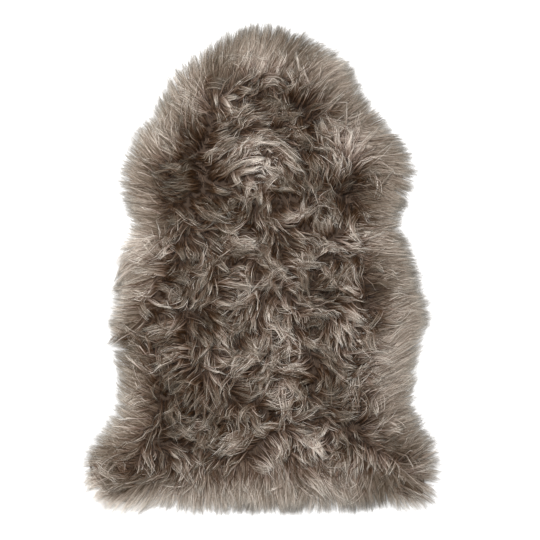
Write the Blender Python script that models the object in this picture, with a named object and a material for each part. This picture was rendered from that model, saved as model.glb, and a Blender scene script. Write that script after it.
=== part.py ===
"""Sheepskin rug, lying flat: one tanned hide with its long wool.

The rug lies on z = 0 with its neck towards +Y and its tail edge towards -Y. The origin is on the
floor under the middle of the wool's outline. Two solids make it:

    hide    the tanned skin, a flat sheet of leather that the whole rug rests on
    fleece  the wool, a lumpy slab of tufts whose rim is parted into combed locks that droop to
            the floor
"""

import math

import bmesh
import bpy
import numpy as np
from mathutils import Vector, noise
from mathutils.geometry import interpolate_bezier

MM = 0.001

# Driving sizes, in metres. The length and width are taken over the tips of the wool.
LENGTH = 0.950
WIDTH = 0.685
HIDE_THICKNESS = 0.0025
HIDE_INSET = 0.050  # the wool hides the skin's edge by this much
SLAB_INSET = 0.040  # where the wool stops being a mass and parts into locks
SEAT_GAP = 0.0003  # between the skin and the wool that stands on it
RIM_HEIGHT = 0.025  # of the wool where its locks part
CROWN_HEIGHT = 0.042  # of the wool's mass in the middle of the rug, under its tufts
SHOULDER = 0.080  # how far in from the slab's rim the wool reaches its full height

# Cells of the slab's top. The cells at its edge give one rim lock each.
CELLS_ACROSS = 48
CELLS_ALONG = 54
SPREADING_STEPS = 400
WOOL_SEED = 7

# The wool's outline, anticlockwise from the left hind leg, in mm from the middle at the sizes
# below. Each stretch runs from its first landmark to the first one of the next stretch.
OUTLINE_LENGTH = 950
OUTLINE_WIDTH = 685
OUTLINE = (
    # stretch, landmark, x, y
    ("tail", "left hind tip", -322, -438),
    ("tail", "left hind leg", -272, -463),
    ("tail", "tail notch", -205, -457),
    ("tail", "tail edge left", -130, -468),
    ("tail", "tail edge middle", 60, -474),
    ("tail", "tail edge right", 190, -461),
    ("tail", "right hind leg", 290, -460),
    ("right flank", "right hind tip", 329, -442),
    ("right flank", "right hock", 344, -385),
    ("right flank", "right thigh", 319, -307),
    ("right flank", "right loin", 293, -245),
    ("right flank", "right belly", 315, -145),
    ("right flank", "right ribs", 319, -73),
    ("right flank", "right waist", 290, 24),
    ("right flank", "right elbow", 272, 110),
    ("right flank", "right shoulder", 290, 188),
    ("neck", "right shoulder top", 268, 254),
    ("neck", "right neck", 196, 344),
    ("neck", "right cheek", 165, 407),
    ("neck", "right nape", 98, 446),
    ("neck", "nape", 19, 475),
    ("neck", "left nape", -93, 442),
    ("neck", "left cheek", -161, 379),
    ("neck", "left neck", -184, 348),
    ("left flank", "left shoulder top", -245, 254),
    ("left flank", "left shoulder", -270, 169),
    ("left flank", "left elbow", -247, 95),
    ("left flank", "left waist", -279, -25),
    ("left flank", "left belly", -292, -126),
    ("left flank", "left loin", -274, -229),
    ("left flank", "left thigh", -305, -303),
    ("left flank", "left hock", -342, -372),
)

# The main mounds and hollows of the wool: where it piles up, and where it parts. In mm.
MOUNDS = (
    # name, x, y, radius, rise
    ("arch over the shoulders", 20, 215, 95, 7),
    ("nape curl", 30, 365, 50, 5),
    ("left shoulder tuft", -95, 330, 45, 5),
    ("left shoulder parting", -145, 290, 38, -10),
    ("right shoulder parting", 205, 165, 45, -11),
    ("left flank swirl", -195, 5, 55, 5),
    ("back ridge", -40, -60, 90, 6),
    ("right flank parting", 225, -80, 45, -10),
    ("right flank lap", 150, -110, 55, 5),
    ("left loin parting", -185, -240, 50, -9),
    ("loin curl", 80, -265, 60, 6),
    ("rump mound", 150, -345, 65, 5),
    ("left haunch", -240, -370, 60, 5),
    ("tail parting", -80, -345, 45, -8),
)

# How the wool lies away from the rim, where it is combed outwards: each sweep draws the tufts
# around it to one heading, in degrees from +X, or round its middle where it has a spin.
SWEEPS = (
    # name, x, y, radius, heading, spin
    ("nape", -10, 385, 60, 60, -0.8),
    ("left shoulder", -120, 320, 70, 115, 0.0),
    ("arch", -30, 255, 80, 15, -0.4),
    ("right shoulder", 150, 300, 90, 40, 0.0),
    ("withers", -80, 110, 80, -60, 0.7),
    ("chest", 90, 130, 80, -130, 0.5),
    ("mid back", -50, 30, 70, -20, -0.9),
    ("left ribs", -180, -60, 80, 200, 0.4),
    ("right ribs", 110, -80, 80, -70, 0.9),
    ("spine", -20, -150, 70, 240, 0.0),
    ("loin", 75, -240, 70, -100, -1.0),
    ("left loin", -150, -200, 80, -140, -0.6),
    ("rump", 110, -345, 80, -50, 0.3),
    ("tail", -90, -350, 90, -110, 0.5),
)
SWEEP_STRAY = 0.9  # how far the tufts stray from the sweeps
COMBED_RIM = 0.085  # how far in from the slab's rim the wool lies combed outwards

# The tufts that the wool lies in: overlapping teardrops, low at the root and high at the tip.
TUFT_PITCH = 0.043
TUFT_LENGTH = 0.055  # from a tuft's middle to its tip
TUFT_WIDTH = 0.025  # from its middle line to its side
TUFT_RISE = 0.020
TUFT_BEND = 0.5  # how far a tuft's tip curls to one side, as a share of its width

# A rim lock, section by section from its root: its share of the reach, and of the root's width
# and height.
LOCK_SECTIONS = (
    # along, width, height
    (0.36, 0.76, 0.68),
    (0.72, 0.48, 0.38),
    (1.00, 0.10, 0.12),
)
LOCK_SWAY = math.radians(22)  # how far a lock's heading strays from straight out
LOCK_REACH_SPREAD = 0.26  # the lengths' spread, as a share of the mean reach
LOCK_CURL = 0.22  # a lock's tip drifts sideways by up to this share of its reach
LOCK_CLEARANCE = 0.0004  # between a lock and the floor it rests on

WOOL_COLOUR = (0.205, 0.160, 0.125, 1.0)
LEATHER_COLOUR = (0.560, 0.440, 0.320, 1.0)


def clear_scene():
    """Removes whatever the file opened with."""
    for obj in list(bpy.data.objects):
        bpy.data.objects.remove(obj)


def material(name, colour, roughness):
    made = bpy.data.materials.new(name)
    made.use_nodes = True
    shader = made.node_tree.nodes["Principled BSDF"]
    shader.inputs["Base Color"].default_value = colour
    shader.inputs["Roughness"].default_value = roughness
    shader.inputs["Metallic"].default_value = 0.0
    made.diffuse_color = colour
    return made


def landmarks():
    """The outline's landmarks in metres, at the driving length and width."""
    across = WIDTH / OUTLINE_WIDTH
    along = LENGTH / OUTLINE_LENGTH
    return [Vector((x * across, y * along, 0.0)) for _, _, x, y in OUTLINE]


def stretch_line(name, steps_between=12):
    """A fine smooth line along one stretch, up to the next stretch's first landmark."""
    points = landmarks()
    count = len(points)
    line = []
    for i, (stretch, _, _, _) in enumerate(OUTLINE):
        if stretch != name:
            continue
        before, here, after, beyond = (points[(i + k) % count] for k in (-1, 0, 1, 2))
        leave = here + (after - before) / 6
        arrive = after - (beyond - here) / 6
        line += interpolate_bezier(here, leave, arrive, after, steps_between)[:-1]
        end = after
    return line + [end]


def spaced(line, count):
    """count + 1 points at even distances along a line."""
    points = np.array([tuple(p) for p in line])
    steps = np.linalg.norm(np.diff(points, axis=0), axis=1)
    along = np.concatenate([[0.0], np.cumsum(steps)])
    at = np.linspace(0.0, along[-1], count + 1)
    return np.stack([np.interp(at, along, points[:, k]) for k in range(3)], axis=1)


def rim_ring():
    """The wool's outline as a closed ring of points, one for each cell at the slab's edge."""
    stretches = (
        ("tail", CELLS_ACROSS),
        ("right flank", CELLS_ALONG),
        ("neck", CELLS_ACROSS),
        ("left flank", CELLS_ALONG),
    )
    return np.concatenate([spaced(stretch_line(name), count)[:-1] for name, count in stretches])


def outward(ring, reach=4):
    """The outward direction at each point of a ring, evened over its neighbours."""
    along = np.roll(ring, -reach, axis=0) - np.roll(ring, reach, axis=0)
    normal = np.stack([along[:, 1], -along[:, 0], np.zeros(len(ring))], axis=1)
    return normal / np.linalg.norm(normal, axis=1, keepdims=True)


def inset(ring, distance):
    return ring - outward(ring) * distance


def rim_distance(ring, x, y):
    """How far a place is from a ring's nearest point, and which point that is."""
    away = np.linalg.norm(ring[:, :2] - (x, y), axis=1)
    nearest = int(away.argmin())
    return float(away[nearest]), nearest


def patch_edges(ring):
    """The ring cut into a patch's four edges, each from left to right or from tail to neck."""
    right_start = CELLS_ACROSS
    neck_start = right_start + CELLS_ALONG
    left_start = neck_start + CELLS_ACROSS
    closed = np.concatenate([ring, ring[:1]])
    tail = closed[: right_start + 1]
    right = closed[right_start : neck_start + 1]
    neck = closed[neck_start : left_start + 1][::-1]
    left = closed[left_start:][::-1]
    return tail, right, neck, left


def patch(ring):
    """The places of the slab's cell corners, by number across and along, spread evenly inside."""
    tail, right, neck, left = patch_edges(ring)
    u = np.linspace(0.0, 1.0, CELLS_ACROSS + 1)[:, None, None]
    v = np.linspace(0.0, 1.0, CELLS_ALONG + 1)[None, :, None]
    between_ends = (1 - v) * tail[:, None] + v * neck[:, None]
    between_flanks = (1 - u) * left[None] + u * right[None]
    tail_corners = (1 - u) * tail[0] + u * tail[-1]
    neck_corners = (1 - u) * neck[0] + u * neck[-1]
    grid = between_ends + between_flanks - (1 - v) * tail_corners - v * neck_corners
    for _ in range(SPREADING_STEPS):
        beside = grid[:-2, 1:-1] + grid[2:, 1:-1]
        ahead = grid[1:-1, :-2] + grid[1:-1, 2:]
        grid[1:-1, 1:-1] = (beside + ahead) / 4
    return grid


def heading_at(ring, ways, x, y):
    """Which way the wool lies at a place, as a flat unit vector."""
    place = Vector((x, y, 0.0))
    from_rim, nearest = rim_distance(ring, x, y)
    combed = max(0.0, 1.0 - from_rim / COMBED_RIM)
    flow = noise.noise_vector(place / 0.06) * SWEEP_STRAY
    for _, sx, sy, radius, heading, spin in SWEEPS:
        arm = place - Vector((sx, sy, 0.0)) * MM
        pull = math.exp(-((arm.length / (radius * MM)) ** 2))
        way = Vector((math.cos(math.radians(heading)), math.sin(math.radians(heading)), 0.0))
        round_it = Vector((-arm.y, arm.x, 0.0)) / (radius * MM)
        flow += (way * (1 - abs(spin)) + round_it * 2 * spin) * pull
    flow = flow * (1 - combed) ** 2 + Vector(ways[nearest]) * 2.5 * combed
    flow.z = 0.0
    return flow.normalized()


class Tufts:
    """All the tufts that lie on the wool's mass, held as arrays for a quick look-up."""

    def __init__(self, ring, ways):
        rows = []
        columns = math.ceil(WIDTH / TUFT_PITCH / 2) + 1
        lines = math.ceil(LENGTH / TUFT_PITCH / 2) + 1
        for i in range(-columns, columns + 1):
            for j in range(-lines, lines + 1):
                grid = Vector((i + 0.5 * (j % 2), j, 0.0)) * TUFT_PITCH
                stray = noise.cell_vector(Vector((i, j, 3.0)))
                x = grid.x + (stray.x - 0.5) * 0.8 * TUFT_PITCH
                y = grid.y + (stray.y - 0.5) * 0.8 * TUFT_PITCH
                way = heading_at(ring, ways, x, y)
                size = 0.8 + 0.5 * stray.z
                bend = TUFT_BEND * (1 if stray.x > 0.5 else -1)
                rows.append((x, y, way.x, way.y, size, bend))
        self.x, self.y, self.way_x, self.way_y, self.size, self.bend = np.array(rows).T

    def rise(self, x, y):
        """How far the highest tuft at a place stands over the wool's mass, from 0 to 1."""
        dx = x - self.x
        dy = y - self.y
        along = (dx * self.way_x + dy * self.way_y) / (TUFT_LENGTH * self.size)
        across = (dy * self.way_x - dx * self.way_y) / (TUFT_WIDTH * self.size)
        across = across - self.bend * np.clip(along, 0.0, 1.0) ** 2
        swell = np.clip(np.minimum((along + 1.0) / 1.5, (1.0 - along) / 0.5), 0.0, 1.0)
        section = np.clip(1.0 - across**2, 0.0, 1.0)
        return float((swell**1.2 * section * self.size).max())


def mound_relief(x, y):
    """The rise or fall of the main mounds and partings, in metres."""
    total = 0.0
    for _, mx, my, radius, rise in MOUNDS:
        away = math.hypot(x - mx * MM, y - my * MM) / (radius * MM)
        total += rise * MM * math.exp(-(away**2))
    return total


def wool_height(tufts, x, y, from_rim):
    """How high the wool stands over the floor."""
    share = min(1.0, from_rim / SHOULDER)
    dome = math.sin(share * math.pi / 2) ** 0.8
    body = RIM_HEIGHT + (CROWN_HEIGHT - RIM_HEIGHT) * dome
    relief = mound_relief(x, y) + TUFT_RISE * tufts.rise(x, y)
    return body + relief * (0.25 + 0.75 * share)


def slab(bm, ring, tufts):
    """The wool's mass: a patch of cells over the slab's outline, closed by a wall and a floor.

    Returns the wall's faces, one for each rim lock.
    """
    bmesh.ops.create_grid(bm, x_segments=CELLS_ACROSS, y_segments=CELLS_ALONG, size=1.0)
    corners = patch(ring)
    for vertex in bm.verts:
        i = round((vertex.co.x + 1) / 2 * CELLS_ACROSS)
        j = round((vertex.co.y + 1) / 2 * CELLS_ALONG)
        x, y, _ = corners[i, j]
        from_rim, _ = rim_distance(ring, x, y)
        vertex.co = (x, y, wool_height(tufts, x, y, from_rim))
    rim = [edge for edge in bm.edges if edge.is_boundary]
    grown = bmesh.ops.extrude_edge_only(bm, edges=rim)["geom"]
    for vertex in (item for item in grown if isinstance(item, bmesh.types.BMVert)):
        vertex.co.z = HIDE_THICKNESS + SEAT_GAP
    walls = [item for item in grown if isinstance(item, bmesh.types.BMFace)]
    foot = [edge for edge in bm.edges if edge.is_boundary]
    bmesh.ops.holes_fill(bm, edges=foot, sides=len(foot))
    bmesh.ops.recalc_face_normals(bm, faces=bm.faces)
    return walls


def grow_lock(bm, wall, way, reach, curl):
    """Draws one wall face out into a tapered lock that droops to the floor."""
    side = Vector((-way.y, way.x, 0.0))
    root = wall.calc_center_median()
    low = min(vertex.co.z for vertex in wall.verts)
    high = max(vertex.co.z for vertex in wall.verts)
    tip = wall
    width_before = height_before = 1.0
    for along, width, height in LOCK_SECTIONS:
        grown = bmesh.ops.extrude_discrete_faces(bm, faces=[tip])["faces"]
        tip = grown[0]
        centre = tip.calc_center_median()
        half_height = (high - low) * height / 2
        droop = (root.z - LOCK_CLEARANCE) * (1 - along**1.5)
        middle = root + way * (reach * along) + side * (reach * curl * along**2)
        middle.z = LOCK_CLEARANCE + max(half_height, droop)
        for vertex in tip.verts:
            out = vertex.co - centre
            across = side * out.dot(side) * (width / width_before)
            upright = Vector((0.0, 0.0, out.z * height / height_before))
            vertex.co = middle + across + upright
            vertex.co.z = max(vertex.co.z, LOCK_CLEARANCE)
        width_before = width
        height_before = height


def between(ring):
    """The places halfway from each point of a ring to the next."""
    return (ring + np.roll(ring, -1, axis=0)) / 2


def rim_locks(bm, walls, edge, ring):
    """One lock on each wall face, combed out to the ring with a little stray in heading."""
    roots = between(edge)
    tips = between(ring)
    for wall in walls:
        root = wall.calc_center_median()
        _, nearest = rim_distance(roots, root.x, root.y)
        x, y, _ = tips[nearest] - roots[nearest]
        drift = noise.noise_vector(root / 0.08)
        jitter = noise.cell_vector(root / 0.004)
        turn = LOCK_SWAY * (0.8 * drift.x + 0.4 * (jitter.x - 0.5))
        way_x = x * math.cos(turn) - y * math.sin(turn)
        way_y = x * math.sin(turn) + y * math.cos(turn)
        reach = math.hypot(x, y) * (1 + LOCK_REACH_SPREAD * (jitter.y - 0.5))
        grow_lock(bm, wall, Vector((way_x, way_y, 0.0)).normalized(), reach, LOCK_CURL * drift.y)


def fleece(ring, wool):
    """The wool's mass with its rim locks, as one solid."""
    edge = inset(ring, SLAB_INSET)
    bm = bmesh.new()
    walls = slab(bm, edge, Tufts(edge, outward(edge)))
    rim_locks(bm, walls, edge, ring)
    bmesh.ops.triangulate(bm, faces=bm.faces)
    mesh = bpy.data.meshes.new("fleece")
    bm.to_mesh(mesh)
    bm.free()
    mesh.materials.append(wool)
    mesh.shade_smooth()
    mesh.set_sharp_from_angle(angle=math.radians(50))
    return bpy.data.objects.new("fleece", mesh)


def hide(ring, leather):
    """The tanned skin: a flat sheet cut to the pelt's own outline."""
    edge = inset(ring, HIDE_INSET)
    curve = bpy.data.curves.new("hide", "CURVE")
    curve.dimensions = "2D"
    curve.fill_mode = "BOTH"
    curve.extrude = HIDE_THICKNESS / 2
    spline = curve.splines.new("POLY")
    spline.points.add(len(edge) - 1)
    for point, (x, y, _) in zip(spline.points, edge):
        point.co = (x, y, 0.0, 1.0)
    spline.use_cyclic_u = True
    curve.materials.append(leather)
    skin = bpy.data.objects.new("hide", curve)
    skin.location.z = HIDE_THICKNESS / 2
    return skin


def extent(obj):
    """The lowest and highest corner of a mesh object's box."""
    corners = np.array([tuple(vertex.co) for vertex in obj.data.vertices])
    return corners.min(axis=0), corners.max(axis=0)


def main():
    clear_scene()
    noise.seed_set(WOOL_SEED)
    rug = bpy.data.collections.new("sheepskin_rug")
    bpy.context.scene.collection.children.link(rug)
    wool = material("taupe_wool", WOOL_COLOUR, 0.85)
    leather = material("tanned_leather", LEATHER_COLOUR, 0.80)
    ring = rim_ring()
    wool_solid = fleece(ring, wool)
    skin_solid = hide(ring, leather)
    low, high = extent(wool_solid)
    middle = (low + high) / 2
    across = WIDTH / (high[0] - low[0])
    along = LENGTH / (high[1] - low[1])
    for solid in (wool_solid, skin_solid):
        rug.objects.link(solid)
        solid.scale = (across, along, 1.0)
        solid.location.x = -middle[0] * across
        solid.location.y = -middle[1] * along


main()
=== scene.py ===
"""Sheepskin rug on a white floor, seen from straight above.

The rug is one tanned hide with its long wool. Sizes are in metres and places are in the row frame:
the origin on the floor under the rug's middle, +Y towards the neck, +X to the right, +Z up. The
tables hold millimetres and degrees, and an angle is counted anticlockwise from +X. A route over the
floor is an array of complex numbers, x + iy, so that a turn is a product.
"""

from __future__ import annotations

import logging
import math
from collections import defaultdict
from dataclasses import dataclass, field
from enum import Enum
from functools import partial
from typing import Any, Callable, Iterator, Sequence

import bpy
import numpy as np
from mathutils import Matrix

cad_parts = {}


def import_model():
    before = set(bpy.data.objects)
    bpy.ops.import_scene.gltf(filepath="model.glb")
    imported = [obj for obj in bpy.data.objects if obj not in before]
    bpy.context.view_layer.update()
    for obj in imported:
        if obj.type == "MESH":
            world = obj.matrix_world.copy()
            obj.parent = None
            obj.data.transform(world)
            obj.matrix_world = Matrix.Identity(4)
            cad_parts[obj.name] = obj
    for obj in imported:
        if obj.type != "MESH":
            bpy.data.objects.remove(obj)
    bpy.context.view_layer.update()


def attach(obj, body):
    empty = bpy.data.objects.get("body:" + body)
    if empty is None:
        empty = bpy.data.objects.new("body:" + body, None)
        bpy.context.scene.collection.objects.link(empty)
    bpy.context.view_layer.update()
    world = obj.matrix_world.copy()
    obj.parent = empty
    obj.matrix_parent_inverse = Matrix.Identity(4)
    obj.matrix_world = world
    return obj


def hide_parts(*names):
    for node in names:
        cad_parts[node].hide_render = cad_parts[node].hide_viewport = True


LOG = logging.getLogger("sheepskin")
MM = 0.001
Array = np.ndarray

HIDE_THICKNESS = 0.0025
UNDERWOOL_DEPTH = 0.0050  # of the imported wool's top under the surface that the locks lie to
DRIFT_AREA = (0.40, 0.53)  # half the width and length that drifting numbers are given for
DRIFT_BLUR = 0.9  # in squared pitches
ROW_SPACING = 0.87  # between the rows of a grid of spots, in pitches
SPOT_PLAY = 0.42  # of a spot to each side, in pitches
PORTION = 2000  # places that are measured at a time

# The kinds of node that come up most.
MATH = "ShaderNodeMath"
VECTORS = "ShaderNodeVectorMath"
STORE = "GeometryNodeStoreNamedAttribute"

# The outline over the tips of the wool, anticlockwise from the left hind leg, in mm, and the way
# that the wool is combed there, with the width and tone of the pale band along the rim. The band's
# tone is painted light: the combed wool is drawn paler where it catches more light, and each
# landmark is paler or darker by the way that it faces the light.
OUTLINE = (
    # landmark, x, y, comb, band, tone
    ("left hind tip", -326, -442, 176, 31, 2.3),
    ("left hind leg", -257, -476, 222, 34, 1.95),
    ("tail notch", -205, -451, 228, 27, 1.5),
    ("tail edge left", -131, -467, 258, 52, 1.1),
    ("tail edge middle", 60, -465, 270, 59, 0.7),
    ("tail edge right", 190, -464, 292, 74, 0.0),
    ("tail right end", 240, -455, 298, 41, 0.35),
    ("right hind leg", 290, -464, 305, 29, 1.1),
    ("right hind tip", 334, -450, 334, 54, 1.05),
    ("right hock", 345, -385, 14, 62, 0.75),
    ("right hock top", 341, -345, 24, 50, 0.6),
    ("right thigh", 313, -306, 40, 46, 0.5),
    ("right loin", 292, -245, 6, 80, 0.75),
    ("right belly", 310, -145, 10, 102, 0.85),
    ("right ribs", 321, -75, 2, 102, 0.7),
    ("right waist", 293, 24, 4, 57, 0.6),
    ("right elbow", 271, 105, 358, 47, 0.5),
    ("right shoulder", 297, 188, 350, 63, 0.5),
    ("right shoulder top", 268, 255, 28, 90, 0.3),
    ("right neck low", 233, 302, 32, 54, 0.45),
    ("right neck", 196, 345, 34, 47, 0.3),
    ("right cheek", 164, 408, 46, 80, 0.95),
    ("right nape", 98, 448, 62, 92, 0.15),
    ("nape", 18, 474, 70, 100, -0.1),
    ("nape left", -40, 469, 82, 88, -0.15),
    ("left nape", -96, 440, 92, 50, 0.1),
    ("left cheek", -164, 383, 110, 44, 0.7),
    ("left neck", -182, 344, 142, 39, 0.65),
    ("left neck low", -210, 299, 142, 37, 0.55),
    ("left shoulder top", -247, 257, 142, 49, 0.4),
    ("left shoulder", -272, 168, 132, 36, 0.5),
    ("left elbow", -248, 95, 188, 38, 0.35),
    ("left ribs", -276, 35, 190, 57, 0.95),
    ("left waist", -278, -25, 188, 34, 0.75),
    ("left flank", -284, -75, 174, 26, 0.9),
    ("left belly", -294, -126, 162, 20, 0.65),
    ("left belly low", -274, -178, 165, 20, 0.35),
    ("left loin", -273, -225, 168, 33, 0.2),
    ("left haunch", -275, -263, 160, 33, 0.1),
    ("left thigh", -299, -303, 150, 37, 0.4),
    ("left hock", -336, -363, 166, 31, 0.4),
)

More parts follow.
